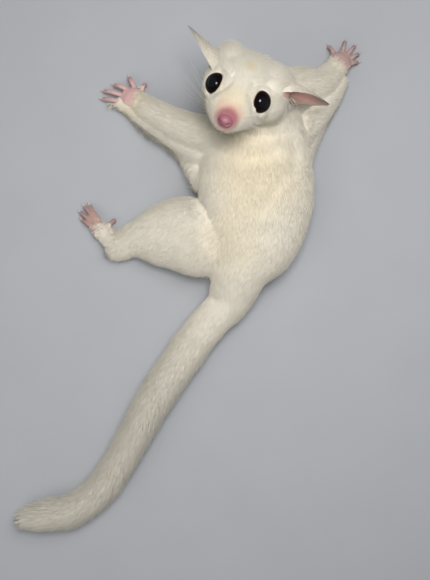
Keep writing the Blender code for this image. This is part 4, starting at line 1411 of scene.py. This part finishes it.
        faces = (tuft.faces()[None] + corners * np.arange(len(roots))[:, None, None]).reshape(-1, 3)
        obj = new_object(name, Shape(points.reshape(-1, 3), [faces]))
        set_values(obj, "shade", np.repeat(self.random.random(len(roots)), corners))
        set_values(obj, "along", np.tile(np.append(np.repeat(share[:-1], 3), 1.0), len(roots)))
        self.soften(obj, np.repeat(normals, corners, axis=0))
        self.unwrap(obj, rings, atlas)
        return obj

    def soften(self, obj: bpy.types.Object, normals: Array) -> None:
        """Shades a piece mostly as the skin under it is shaded, a little lifted.

        Args:
            obj: The piece.
            normals: The skin's outward way for each of its points.
        """
        lifted = unit(normals + UP * (0.5 * (1.0 - normals[:, 2:])))
        plain = np.empty(len(obj.data.vertices) * 3, np.float32)
        obj.data.vertex_normals.foreach_get("vector", plain)
        soft = unit(lifted * (1.0 - self.own_normal) + plain.reshape(-1, 3) * self.own_normal)
        obj.data.normals_split_custom_set_from_vertices(soft)

    def unwrap(self, obj: bpy.types.Object, rings: int, atlas: Array) -> None:
        """Lays each tuft flat as a small patch at its root's place on the unwrapped limb.

        Args:
            obj: The piece.
            rings: Number of rings of a tuft.
            atlas: Place of each root.
        """
        spot = [(aside, ring + rise) for ring in range(rings) for aside, rise in ((-1, 0), (0, 0.4), (1, 0))]
        spot = np.array([*spot, (0, 2)]) * self.patch / 2
        low, high = atlas.min(axis=0), atlas.max(axis=0)
        place = 0.01 + 0.98 * (atlas - low) / np.maximum(high - low, 1e-6)
        flat = np.clip(place[:, None] + spot[None] - np.array((0, self.patch / 2)), 0.0, 1.0).reshape(-1, 2)
        layer = obj.data.uv_layers.new(name="OFBake")
        used = np.empty(len(obj.data.loops), np.int32)
        obj.data.loops.foreach_get("vertex_index", used)
        layer.uv.foreach_set("vector", flat[used].astype(np.float32).ravel())


class Socket:
    """A value in a shader that takes part in Python expressions."""

    def __init__(self, painter: "Painter", link: Any) -> None:
        """Wraps a node's output, or a plain number."""
        self.painter = painter
        self.link = link

    def _maths(self, operation: str, first: Any, second: Any) -> "Socket":
        """Adds one Math node and wraps its result."""
        return self.painter.node("ShaderNodeMath", {"operation": operation}, {0: first, 1: second})

    def __add__(self, other: Any) -> "Socket":
        """Sum."""
        return self._maths("ADD", self, other)

    __radd__ = __add__

    def __sub__(self, other: Any) -> "Socket":
        """Difference."""
        return self._maths("SUBTRACT", self, other)

    def __rsub__(self, other: Any) -> "Socket":
        """Difference the other way round."""
        return self._maths("SUBTRACT", other, self)

    def __mul__(self, other: Any) -> "Socket":
        """Product."""
        return self._maths("MULTIPLY", self, other)

    __rmul__ = __mul__

    def clamped(self) -> "Socket":
        """The value kept between 0 and 1."""
        return self.painter.node("ShaderNodeClamp", {}, {"Value": self})


class Painter:
    """Builds one material."""

    def __init__(self, name: str) -> None:
        """Starts an empty material.

        Args:
            name: The material's name.
        """
        self.material = bpy.data.materials.new(name)
        self.material.use_nodes = True
        self.tree = self.material.node_tree
        self.tree.nodes.clear()
        self._place: Socket | None = None

    def node(self, kind: str, settings: dict[str, Any], inputs: dict[Any, Any], output: Any = 0) -> Socket:
        """Adds a node.

        Args:
            kind: The node's type.
            settings: Its settings, set first.
            inputs: Values or links of its sockets, by name or number.
            output: The output wanted, by name or number.

        Returns:
            That output.
        """
        made = self.tree.nodes.new(kind)
        for key, value in settings.items():
            setattr(made, key, value)
        for key, value in inputs.items():
            if isinstance(value, Socket):
                self.tree.links.new(value.link, made.inputs[key])
            else:
                made.inputs[key].default_value = value
        return Socket(self, None if output is None else made.outputs[output])

    def place(self) -> Socket:
        """The object's own coordinates, in metres, made when they are first wanted.

        Returns:
            Their link.
        """
        if self._place is None:
            self._place = self.node("ShaderNodeTexCoord", {}, {}, "Object")
        return self._place

    def value(self, name: str) -> Socket:
        """A number stored on the mesh."""
        return self.node("ShaderNodeAttribute", {"attribute_name": name}, {}, "Fac")

    def noise(self, scale: float, detail: float = 3.0, roughness: float = 0.5) -> Socket:
        """Soft noise, about 0.5 in the mean, with its scale in waves for each metre."""
        settings = {"Vector": self.place(), "Scale": scale, "Detail": detail, "Roughness": roughness}
        return self.node("ShaderNodeTexNoise", {}, settings, 0)

    def cells(self, scale: float) -> Socket:
        """Distance to the middle of the nearest cell."""
        return self.node("ShaderNodeTexVoronoi", {}, {"Vector": self.place(), "Scale": scale}, 0)

    def mix(self, factor: Any, first: Any, second: Any, blend: str = "MIX") -> Socket:
        """A colour between two, or one worked on another.

        Args:
            factor: How much of the second there is.
            first: A colour or its link.
            second: Another.
            blend: How the second works on the first.

        Returns:
            The colour.
        """
        ends = [(*c, 1.0) if isinstance(c, tuple) else c for c in (first, second)]
        settings = {"data_type": "RGBA", "blend_type": blend, "clamp_factor": True}
        return self.node("ShaderNodeMix", settings, {0: factor, 6: ends[0], 7: ends[1]}, 2)

    def spot(self, centre: Array, inner: float, outer: float) -> Socket:
        """A soft round mark, in metres.

        Args:
            centre: The mark's middle.
            inner: Radius within which it is 1.
            outer: Radius past which it is 0.

        Returns:
            The mark.
        """
        settings = {"operation": "DISTANCE"}
        away = self.node("ShaderNodeVectorMath", settings, {0: self.place(), 1: tuple(centre)}, "Value")
        wanted = {"Value": away, "From Min": inner, "From Max": outer, "To Min": 1.0, "To Max": 0.0}
        return self.node("ShaderNodeMapRange", {"interpolation_type": "SMOOTHSTEP"}, wanted)

    def past(self, point: Array, way: Array, start: float, end: float) -> Socket:
        """A soft step along a way from a point, in metres.

        Args:
            point: Where the step is measured from.
            way: The way it rises.
            start: Distance before which it is 0.
            end: Distance past which it is 1.

        Returns:
            The step.
        """
        operation = {"operation": "DOT_PRODUCT"}
        reach = self.node("ShaderNodeVectorMath", operation, {0: self.place(), 1: tuple(way)}, "Value")
        first = float(np.dot(point, way))
        wanted = {"Value": reach, "From Min": first + start, "From Max": first + end}
        return self.node("ShaderNodeMapRange", {"interpolation_type": "SMOOTHSTEP"}, wanted)

    def bump(self, height: Socket, strength: float, distance: float) -> Socket:
        """A normal that follows a height, the distance in metres."""
        return self.node("ShaderNodeBump", {}, {"Height": height, "Strength": strength, "Distance": distance})

    def finish(self, **inputs: Any) -> bpy.types.Material:
        """Closes the material with one shader.

        Args:
            **inputs: Values or links of the shader's sockets, spaces in their names as underlines.

        Returns:
            The material.
        """
        named = {key.replace("_", " "): value for key, value in inputs.items()}
        shader = self.node("ShaderNodeBsdfPrincipled", {}, named)
        self.node("ShaderNodeOutputMaterial", {}, {"Surface": shader}, None)
        return self.material


@dataclass(frozen=True)
class MarkingsAndShade:
    """The animal's colours and where they lie, the same on skin and coat, with painted shade under the chin,
    along the jaw and over the tail.
    """

    white: Colour = (0.88, 0.82, 0.69)
    cream: Colour = (0.86, 0.745, 0.52)
    amber: Colour = (0.80, 0.66, 0.40)
    pink: Colour = (0.41, 0.155, 0.175)
    peach: Colour = (0.80, 0.54, 0.42)
    # Painted shade under the chin and along the jaw.
    painted_jaw_shade: Colour = (0.36, 0.30, 0.20)
    # Grey of the ear tips, and also painted shade over the tail.
    grey: Colour = (0.66, 0.62, 0.53)

    def paint(self, painter: Painter) -> Socket:
        """Lays the marks over the white, with painted shade under the chin, along the jaw and over the tail.

        Args:
            painter: The material's painter.

        Returns:
            The colour.
        """
        plan, world = HEAD.plan, HEAD.world
        cloud = painter.noise(38.0, 3.0)
        spots = (
            (plan((19.0, 50.0, 33.0)), 0.004, 0.030, 0.80, self.cream),
            (plan((14.0, 66.0, 32.0)), 0.004, 0.020, 0.35, self.cream),
            (plan((6.5, 22.0, 30.0)), 0.004, 0.024, 0.50, self.cream),
            (plan((-38.0, 89.0, 6.0)), 0.002, 0.012, 0.60, self.cream),
            (plan((60.0, 106.0, 6.0)), 0.002, 0.010, 0.50, self.cream),
            (world((10.0, -0.9, 0.0)), 0.002, 0.0105, 0.80, self.cream),
            (world((-4.0, 0.9, 11.8)), 0.0004, 0.0042, 0.60, self.amber),
            # Painted shade: the tail greyed where it lies farther from the lamps.
            (plan((-58.0, -92.0, 10.0)), 0.040, 0.100, 0.80, self.grey),
            *((world(ear.root + ear.axis * 24.0), 0.006, 0.018, 0.80, self.grey) for ear in EARS),
        )
        colour: Any = self.white
        for centre, inner, outer, amount, tint in spots:
            mark = painter.spot(centre, inner, outer) * amount * (0.75 + cloud * 0.4)
            colour = painter.mix(mark, colour, tint)
        # Painted shade: a dark olive band under the chin and along the jaw, where the head shades the chest.
        chin_shade_mask = painter.past(HEAD.origin, -HEAD.up, 0.0098, 0.0132)
        chin_shade_mask = chin_shade_mask * painter.spot(world((8.0, 0.0, -9.0)), 0.009, 0.016)
        colour = painter.mix(chin_shade_mask * 0.85, colour, self.painted_jaw_shade)
        jaw_shade_mask = painter.past(HEAD.origin, -0.6 * HEAD.up - 0.8 * HEAD.left, 0.0118, 0.0150)
        jaw_shade_mask = jaw_shade_mask * painter.spot(world((4.0, -8.0, -10.0)), 0.007, 0.012)
        colour = painter.mix(jaw_shade_mask * 0.9, colour, self.painted_jaw_shade)
        for side, amount in ((1, 0.75), (-1, 0.6)):
            blush = painter.spot(world((13.6, 2.6 * side, -3.6)), 0.0020, 0.0062)
            colour = painter.mix(blush * amount, colour, self.peach)
        return painter.mix(painter.spot(world((16.2, 0.2, -6.0)), 0.0030, 0.0069) * 0.97, colour, self.pink)


@dataclass(frozen=True)
class FurFinish:
    """Matte fur, a little warmer at its roots and brighter at its tips, each tuft a shade of its own."""

    roughness: float = 0.85

    def make(self) -> bpy.types.Material:
        """Builds the material of the coat.

        Returns:
            The material.
        """
        painter = Painter("fur")
        colour = MarkingsAndShade().paint(painter)
        colour = painter.mix((1.0 - painter.value("along")) * 0.22, colour, (0.70, 0.62, 0.50), "MULTIPLY")
        tone = 0.90 + painter.value("shade") * 0.13
        grey = painter.node("ShaderNodeCombineColor", {}, {0: tone, 1: tone, 2: tone})
        colour = painter.mix(1.0, colour, grey, "MULTIPLY")
        return painter.finish(Base_Color=colour, Roughness=self.roughness, Sheen_Weight=0.25,
                              Sheen_Roughness=0.5, Specular_IOR_Level=0.25)


@dataclass(frozen=True)
class SkinFinish:
    """Skin under the fur with the coat's markings and painted shade, painted shade along the mouth's groove,
    and bare pink skin on hands and feet and in the ears.
    """

    bare_spots = (
        ((-56.0, 31.0, 3.0), 0.012, 0.018, (0.40, 0.25, 0.20)),
        ((63.0, 111.0, 4.0), 0.006, 0.014, (0.46, 0.31, 0.28)),
    )

    def make(self) -> bpy.types.Material:
        """Builds the material of the skin.

        Returns:
            The material.
        """
        painter = Painter("skin")
        marked = MarkingsAndShade().paint(painter)
        fine = painter.noise(900.0, 4.0)
        marked = painter.mix(fine * 0.25, marked, (0.80, 0.72, 0.60), "MULTIPLY")
        flush = painter.noise(160.0, 3.0)
        bare = painter.mix(flush, (0.72, 0.50, 0.46), (0.60, 0.35, 0.35))
        for place, inner, outer, tint in self.bare_spots:
            bare = painter.mix(painter.spot(HEAD.plan(place), inner, outer) * 0.8, bare, tint)
        bare = painter.mix(painter.value("pale") * 0.7, bare, (0.38, 0.30, 0.29))
        colour = painter.mix(painter.value("bare"), marked, bare)
        colour = painter.mix(painter.value("pit"), colour, (0.62, 0.34, 0.28))
        # Painted shade: near-black brown along the groove of the mouth.
        colour = painter.mix(painter.value("mouth"), colour, (0.20, 0.13, 0.09))
        wrinkle = painter.cells(2600.0) * 0.6 + painter.noise(1500.0, 4.0) * 0.8
        normal = painter.bump(wrinkle, 0.6, 0.00020)
        return painter.finish(Base_Color=colour, Roughness=0.9 - painter.value("bare") * 0.35, Normal=normal,
                              Subsurface_Weight=0.08, Subsurface_Radius=(0.0012, 0.0006, 0.0004),
                              Specular_IOR_Level=0.3)


@dataclass(frozen=True)
class NoseFinish:
    """Moist pink nose skin with a fine pebbled grain, painted shade at the animal's right and below, and
    painted shade in the nostrils.
    """

    def make(self) -> bpy.types.Material:
        """Builds the material of the nose.

        Returns:
            The material.
        """
        painter = Painter("nose")
        colour = painter.mix(painter.noise(420.0, 3.0), (0.42, 0.17, 0.20), (0.32, 0.12, 0.15))
        # Painted shade on the side and underside that face away from the lamps.
        nose_shade_mask = painter.past(HEAD.world(NOSE_CENTRE), -0.8 * HEAD.left - 0.6 * HEAD.up, -0.0005, 0.0032)
        colour = painter.mix(nose_shade_mask * 0.85, colour, (0.20, 0.06, 0.08))
        # Painted shade in the nostrils.
        colour = painter.mix(painter.value("pit"), colour, (0.16, 0.05, 0.05))
        normal = painter.bump(painter.cells(3200.0), 0.5, 0.00012)
        return painter.finish(Base_Color=colour, Roughness=0.42, Normal=normal, Coat_Weight=0.12,
                              Coat_Roughness=0.2)


@dataclass(frozen=True)
class EarFinish:
    """Thin ear skin with faint veins: pink in the cup, cream outside, grey-brown to the rim and tip."""

    def make(self) -> bpy.types.Material:
        """Builds the material of the ears.

        Returns:
            The material.
        """
        painter = Painter("ear")
        rim = painter.value("rim")
        cup = painter.value("cup")
        veins = (painter.noise(330.0, 5.0, 0.6) - 0.42) * 3.0
        outside = painter.mix(painter.value("reach"), (0.78, 0.71, 0.58), (0.34, 0.30, 0.26))
        inside = painter.mix(rim, (0.74, 0.43, 0.37), (0.28, 0.23, 0.18))
        colour = painter.mix(cup, outside, inside)
        colour = painter.mix(veins.clamped() * 0.25, colour, (0.60, 0.26, 0.24))
        normal = painter.bump(painter.noise(1800.0, 4.0), 0.4, 0.0001)
        return painter.finish(Base_Color=colour, Roughness=0.5, Normal=normal, Subsurface_Weight=0.15,
                              Subsurface_Radius=(0.0015, 0.0006, 0.0004))


@dataclass(frozen=True)
class EyeFinish:
    """A black eye, very dark brown where the iris shows, under a clear coat that is wettest in front."""

    def make(self) -> bpy.types.Material:
        """Builds the material of the eyes.

        Returns:
            The material.
        """
        painter = Painter("eye")
        ring = painter.value("iris") * (0.4 + 0.6 * painter.noise(700.0, 4.0))
        colour = painter.mix(ring, (0.002, 0.002, 0.003), (0.008, 0.004, 0.003))
        wet = 0.12 + painter.value("wet") * 0.88
        return painter.finish(Base_Color=colour, Roughness=0.30, Coat_Weight=wet, Coat_Roughness=0.02,
                              Specular_IOR_Level=0.0)


@dataclass(frozen=True)
class LidFinish:
    """The skin of the lids, almost black along the eye and paler where the fur begins."""

    def make(self) -> bpy.types.Material:
        """Builds the material of the lids.

        Returns:
            The material.
        """
        painter = Painter("lid")
        colour = painter.mix(painter.noise(700.0, 3.0), (0.62, 0.53, 0.42), (0.52, 0.42, 0.34))
        colour = painter.mix(painter.value("margin"), colour, (0.022, 0.017, 0.018))
        normal = painter.bump(painter.noise(2400.0, 3.0), 0.4, 0.00008)
        return painter.finish(Base_Color=colour, Roughness=0.7, Normal=normal, Specular_IOR_Level=0.2)


@dataclass(frozen=True)
class PlainFinish:
    """A finish of two near colours in soft clouds with a fine grain."""

    name: str
    first: Colour
    second: Colour
    scale: float
    roughness: float
    grain: float = 0.00008
    coat: float = 0.0

    def make(self) -> bpy.types.Material:
        """Builds the material.

        Returns:
            The material.
        """
        painter = Painter(self.name)
        colour = painter.mix(painter.noise(self.scale, 4.0), self.first, self.second)
        normal = painter.bump(painter.noise(self.scale * 6.0, 3.0), 0.4, self.grain)
        return painter.finish(Base_Color=colour, Roughness=self.roughness, Normal=normal,
                              Coat_Weight=self.coat, Coat_Roughness=0.2)


class Eye:
    """An eyeball with a slight bulge of the cornea, and the two dark lids that meet round it."""

    bulge = 0.18
    ball_rows = 50
    ball_sides = 72
    lid_steps = 120
    # Section of the lids: degrees outside the opening's edge, and height over the eyeball in mm.
    section = (
        (-0.8, -0.25), (-0.6, 0.00), (0.2, 0.11), (1.4, 0.18), (4.0, 0.25), (8.0, 0.30),
        (13.0, 0.28), (18.0, 0.0), (15.0, -0.45), (8.0, -0.55), (1.0, -0.45),
    )

    def __init__(self, name: str, gaze: Gaze) -> None:
        """Names the eye and gives its place."""
        self.name = name
        self.gaze = gaze

    def ball(self) -> bpy.types.Object:
        """The eyeball: a sphere whose radius grows by the bulge from 54 to 20 degrees of where it looks.

        Returns:
            The eyeball, with its marks for the iris and the wet front.
        """
        polar = np.linspace(0, math.pi, self.ball_rows)[1:-1, None]
        turn = turns(self.ball_sides)[None, :]
        radius = (EYE_RADIUS - self.bulge + self.bulge * (1.0 - fade(polar, 0.35, 0.95))) * MM
        looks = self.gaze.looks
        way = np.cos(polar)[..., None] * looks + np.sin(polar)[..., None] * self.gaze.around(turn)
        rings = self.gaze.centre + way * radius[..., None]
        front = self.gaze.centre + looks * radius[0, 0]
        back = self.gaze.centre - looks * radius[-1, 0]
        obj = new_object(self.name + "_ball", closed_grid(rings, front, back))
        angle = np.degrees(np.repeat(polar[:, 0], self.ball_sides))
        ring = fade(angle, 30.0, 42.0) * (1.0 - fade(angle, 52.0, 64.0))
        set_values(obj, "iris", np.concatenate([ring, [0.0, 0.0]]))
        set_values(obj, "wet", np.concatenate([1.0 - fade(angle, 20.0, 38.0), [1.0, 0.0]]))
        return obj

    def lids(self) -> bpy.types.Object:
        """The edge of the lids: the section carried round the opening, closed on itself.

        Returns:
            The lids, with a mark for their dark margin.
        """
        turn = turns(self.lid_steps)[:, None]
        degrees, height = np.array(self.section).T
        polar = np.radians(self.gaze.edge(turn) + degrees)
        around = self.gaze.around(turn)
        way = np.cos(polar)[..., None] * self.gaze.looks + np.sin(polar)[..., None] * around
        rings = self.gaze.centre + way * ((EYE_RADIUS + height) * MM)[None, :, None]
        index = np.arange(self.lid_steps * len(height)).reshape(self.lid_steps, len(height))
        after, beyond = np.roll(index, -1, axis=1), np.roll(index, -1, axis=0)
        quads = np.stack([index, after, np.roll(after, -1, axis=0), beyond], axis=-1).reshape(-1, 4)
        obj = new_object(self.name + "_lids", Shape(rings.reshape(-1, 3), [quads]))
        set_values(obj, "margin", np.tile(1.0 - fade(degrees, 0.5, 4.5), self.lid_steps))
        return obj


class Nose:
    """The bare nose: a rounded pad with two comma-shaped nostrils and a groove down its middle."""

    radii = (2.6, 3.2, 2.6)
    # Centres and half widths of the dips that run together to one nostril.
    nostril = (((0.80, 0.52, -0.20), 0.20), ((0.62, 0.74, -0.08), 0.15))

    def build(self) -> bpy.types.Object:
        """Makes the pad from an oval whose radius dips at the nostrils and along the groove.

        Returns:
            The nose.
        """
        way = sphere(70, 96)
        pit = np.zeros(way.shape[:2])
        for side in (1, -1):
            for centre, wide in self.nostril:
                gap = distances(way, unit(np.array(centre) * (1, side, 1)))
                pit = np.maximum(pit, bell(gap, wide))
        groove = bell(way[..., 1], 0.10) * fade(-way[..., 2], -0.1, 0.4) * (way[..., 0] > 0)
        size = 1.0 - 0.30 * pit - 0.10 * groove
        rings = HEAD.world(np.array(NOSE_CENTRE) + way * np.array(self.radii) * size[..., None])
        ends = [HEAD.world(np.array(NOSE_CENTRE) + np.array((s * self.radii[0], 0, 0))) for s in (1, -1)]
        obj = new_object("nose_pad", closed_grid(rings, ends[0], ends[1]))
        # The nostril dips, for the painted shade in them.
        set_values(obj, "pit", np.concatenate([fade(pit.ravel(), 0.45, 0.9), [0.0, 0.0]]))
        return obj


class Whiskers:
    """Fine tapered whiskers in rows on both sides of the muzzle, with a few over each eye."""

    seed = 5
    thickness = 0.055
    rows = 3
    columns = 4
    brow = 3  # number over each eye
    brow_length = 9.0

    def build(self) -> bpy.types.Object:
        """Makes each whisker as a thin bent rod that starts in the skin.

        Returns:
            All whiskers as one piece.
        """
        random = np.random.default_rng(self.seed)
        made = []
        for side in (1, -1):
            for row in range(self.rows):
                for column in range(self.columns):
                    root = np.array((12.6 - 1.7 * column, (5.3 + 0.95 * column) * side, -4.6 - 1.3 * row))
                    way = np.array((-0.15 - 0.16 * column, 1.0 * side, 0.42 - 0.32 * row))
                    made.append(self.whisker(root, way, 11.0 + 4.0 * column, random))
            for column in range(self.brow):
                root = np.array((3.5 - 1.6 * column, (6.6 + 0.6 * column) * side, 7.4 + 0.8 * column))
                way = np.array((0.3, 0.75 * side, 0.8))
                made.append(self.whisker(root, way, self.brow_length, random))
        return new_object("whiskers", joined(made))

    def whisker(self, root: Array, way: Array, length: float, random: np.random.Generator) -> Shape:
        """One whisker: a parabola that droops back from its root, radius falling to nothing.

        Args:
            root: Where it starts, mm, in the head's frame.
            way: The way it sets out.
            length: Its length, mm.
            random: Source of the small differences between whiskers.

        Returns:
            The whisker.
        """
        way = unit(way + random.normal(0, 0.10, 3))
        length = length * (0.85 + 0.3 * random.random())
        share = np.linspace(0, 1, 14)
        droop = np.array((-0.22, 0.0, 0.05)) * length
        path = root + way * length * share[:, None] + droop * share[:, None] ** 2
        radii = self.thickness * (1.0 - 0.85 * share) * MM
        return rod(HEAD.world(path), radii, 5, 3.0)


class Glider:
    """The whole animal: builds every piece, dresses it and ties it to the model's one body."""

    down_tufts = 3200  # on the back of each ear
    flesh = (
        "head", "neck", "chest", "loin", "rump", "arm_left", "arm_right", "forearm_left", "forearm_right",
        "leg_left", "leg_right", "shin_left", "membrane_left", "membrane_right", "tail_base", "tail_upper",
        "tail_lower", "tail_tip", "hand_left", "hand_right", "foot_left", "foot_right",
    )

    def add(
        self, obj: bpy.types.Object, material: bpy.types.Material, slot: str, nodes: Sequence[str] = ()
    ) -> None:
        """Dresses a piece and ties it to the frame.

        Args:
            obj: The piece.
            material: Its material.
            slot: A material slot's name; not used.
            nodes: The nodes that it replaces.
        """
        obj.data.materials.clear()
        obj.data.materials.append(material)
        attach(obj, "root")
        if nodes:
            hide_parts(*nodes)
        LOG.info("%s: %d points", obj.name, len(obj.data.vertices))

    def build(self) -> None:
        """Builds the skin first, then what grows on it."""
        body = Skin().build()
        ends = [extremity.skin() for extremity in EXTREMITIES]
        whole = joined([body, *ends])
        whole.faces = [np.vstack(whole.faces)]
        furred = np.zeros(len(body.points))
        paws = list(zip(EXTREMITIES, ends))
        bare = np.concatenate([furred, *(paw.bare(end.points) for paw, end in paws)])
        pale = np.concatenate([furred, *(paw.pale(end.points) for paw, end in paws)])
        skin = new_object("skin", whole)
        place = HEAD.local(whole.points)
        set_values(skin, "bare", bare)
        set_values(skin, "pale", pale)
        # How near each point is to the mouth's groove, for the painted shade along it.
        set_values(skin, "mouth", 0.85 * np.exp(-((Mouth.distance(place) / 0.42) ** 2)))
        set_values(skin, "pit", np.maximum(*(ear.pit(whole.points)[1] for ear in EARS)))
        self.add(skin, SkinFinish().make(), "fur", self.flesh)
        share = 1.0
        fur = FurFinish().make()
        coat = Coat(whole, bare, share)
        for piece in coat.build():
            self.add(piece, fur, "fur")
        for ear in EARS:
            self.add(coat.down(f"coat_{ear.name}", ear, int(self.down_tufts * share)), fur, "fur")
        self.face()
        horn = PlainFinish("claw", (0.80, 0.70, 0.62), (0.62, 0.46, 0.40), 900.0, 0.32, 0.00003, 0.3).make()
        for extremity in EXTREMITIES:
            self.add(new_object(f"claws_{extremity.name}", extremity.claws()), horn, "pink_skin")

    def face(self) -> None:
        """Eyes with their lids, nose, ears and whiskers."""
        eye_finish = EyeFinish().make()
        lid_finish = LidFinish().make()
        for name, gaze in zip(("eye_left", "eye_right"), GAZES):
            eye = Eye(name, gaze)
            self.add(eye.ball(), eye_finish, "eye", (name,))
            self.add(eye.lids(), lid_finish, "pink_skin")
        self.add(Nose().build(), NoseFinish().make(), "pink_skin", ("nose",))
        ear_finish = EarFinish().make()
        for ear in EARS:
            self.add(ear.build(), ear_finish, "ear_skin", (ear.name,))
        hair = PlainFinish("whisker", (0.88, 0.84, 0.76), (0.80, 0.74, 0.64), 300.0, 0.5).make()
        self.add(Whiskers().build(), hair, "fur")


class Studio:
    """A plain grey floor, soft lamps of which the flash is the strongest, and the camera straight above."""

    height = 0.400
    half_view = 0.1392  # half of the picture's height, measured on the floor
    floor_half = 3.0
    sky = (0.95, 0.97, 1.0, 1.0)
    sky_strength = 0.20
    # Name, place in metres, width in metres, power in watts, and whether the eyes mirror it.
    lamps = (
        ("key", (0.11, 0.14, 0.35), 0.20, 0.37, False),
        ("fill", (-0.32, -0.24, 0.45), 0.45, 0.65, False),
        ("flash", (0.030, 0.060, 0.43), 0.17, 0.96, True),
    )

    def floor(self) -> None:
        """A wide plain floor just under the animal."""
        wide = self.floor_half
        points = np.array(((-wide, -wide, 0), (wide, -wide, 0), (wide, wide, 0), (-wide, wide, 0)))
        obj = new_object("floor", Shape(points, [np.array(((0, 1, 2, 3),))]))
        painter = Painter("floor")
        colour = painter.mix(painter.noise(30.0, 4.0), (0.42, 0.43, 0.45), (0.46, 0.47, 0.49))
        obj.data.materials.append(painter.finish(Base_Color=colour, Roughness=0.9))

    def lamp(self, name: str, place: Row, size: float, power: float, mirrored: bool) -> None:
        """A round soft lamp that looks at the animal.

        Args:
            name: The lamp's name.
            place: Where it hangs, metres.
            size: Its width.
            power: Its power, watts.
            mirrored: Whether the eyes mirror it.
        """
        light = bpy.data.lights.new(name, "AREA")
        light.shape = "DISK"
        light.size = size
        light.energy = power
        obj = bpy.data.objects.new(name, light)
        obj.location = place
        way = Vector((0.0, 0.0, 0.02)) - Vector(place)
        obj.rotation_euler = way.to_track_quat("-Z", "Y").to_euler()
        obj.visible_glossy = mirrored
        bpy.context.scene.collection.objects.link(obj)

    def build(self) -> None:
        """Sets floor, lamps, sky and camera."""
        self.floor()
        for lamp in self.lamps:
            self.lamp(*lamp)
        world = bpy.data.worlds.new("sky")
        world.use_nodes = True
        background = world.node_tree.nodes["Background"]
        background.inputs["Color"].default_value = self.sky
        background.inputs["Strength"].default_value = self.sky_strength
        bpy.context.scene.world = world
        camera = bpy.data.cameras.new("camera")
        camera.sensor_fit = "VERTICAL"
        camera.angle = 2.0 * math.atan(self.half_view / self.height)
        obj = bpy.data.objects.new("camera", camera)
        obj.location = Vector(HEAD.plan((0.0, 0.0, 0.0))) + Vector((0.0, 0.0, self.height))
        bpy.context.scene.collection.objects.link(obj)
        bpy.context.scene.camera = obj
        bpy.context.scene.view_settings.view_transform = "Standard"


def main() -> None:
    """Builds the animal and the studio."""
    logging.basicConfig(level=logging.INFO, format="%(message)s")
    Glider().build()
    Studio().build()


if __name__ == "__main__":
    main()
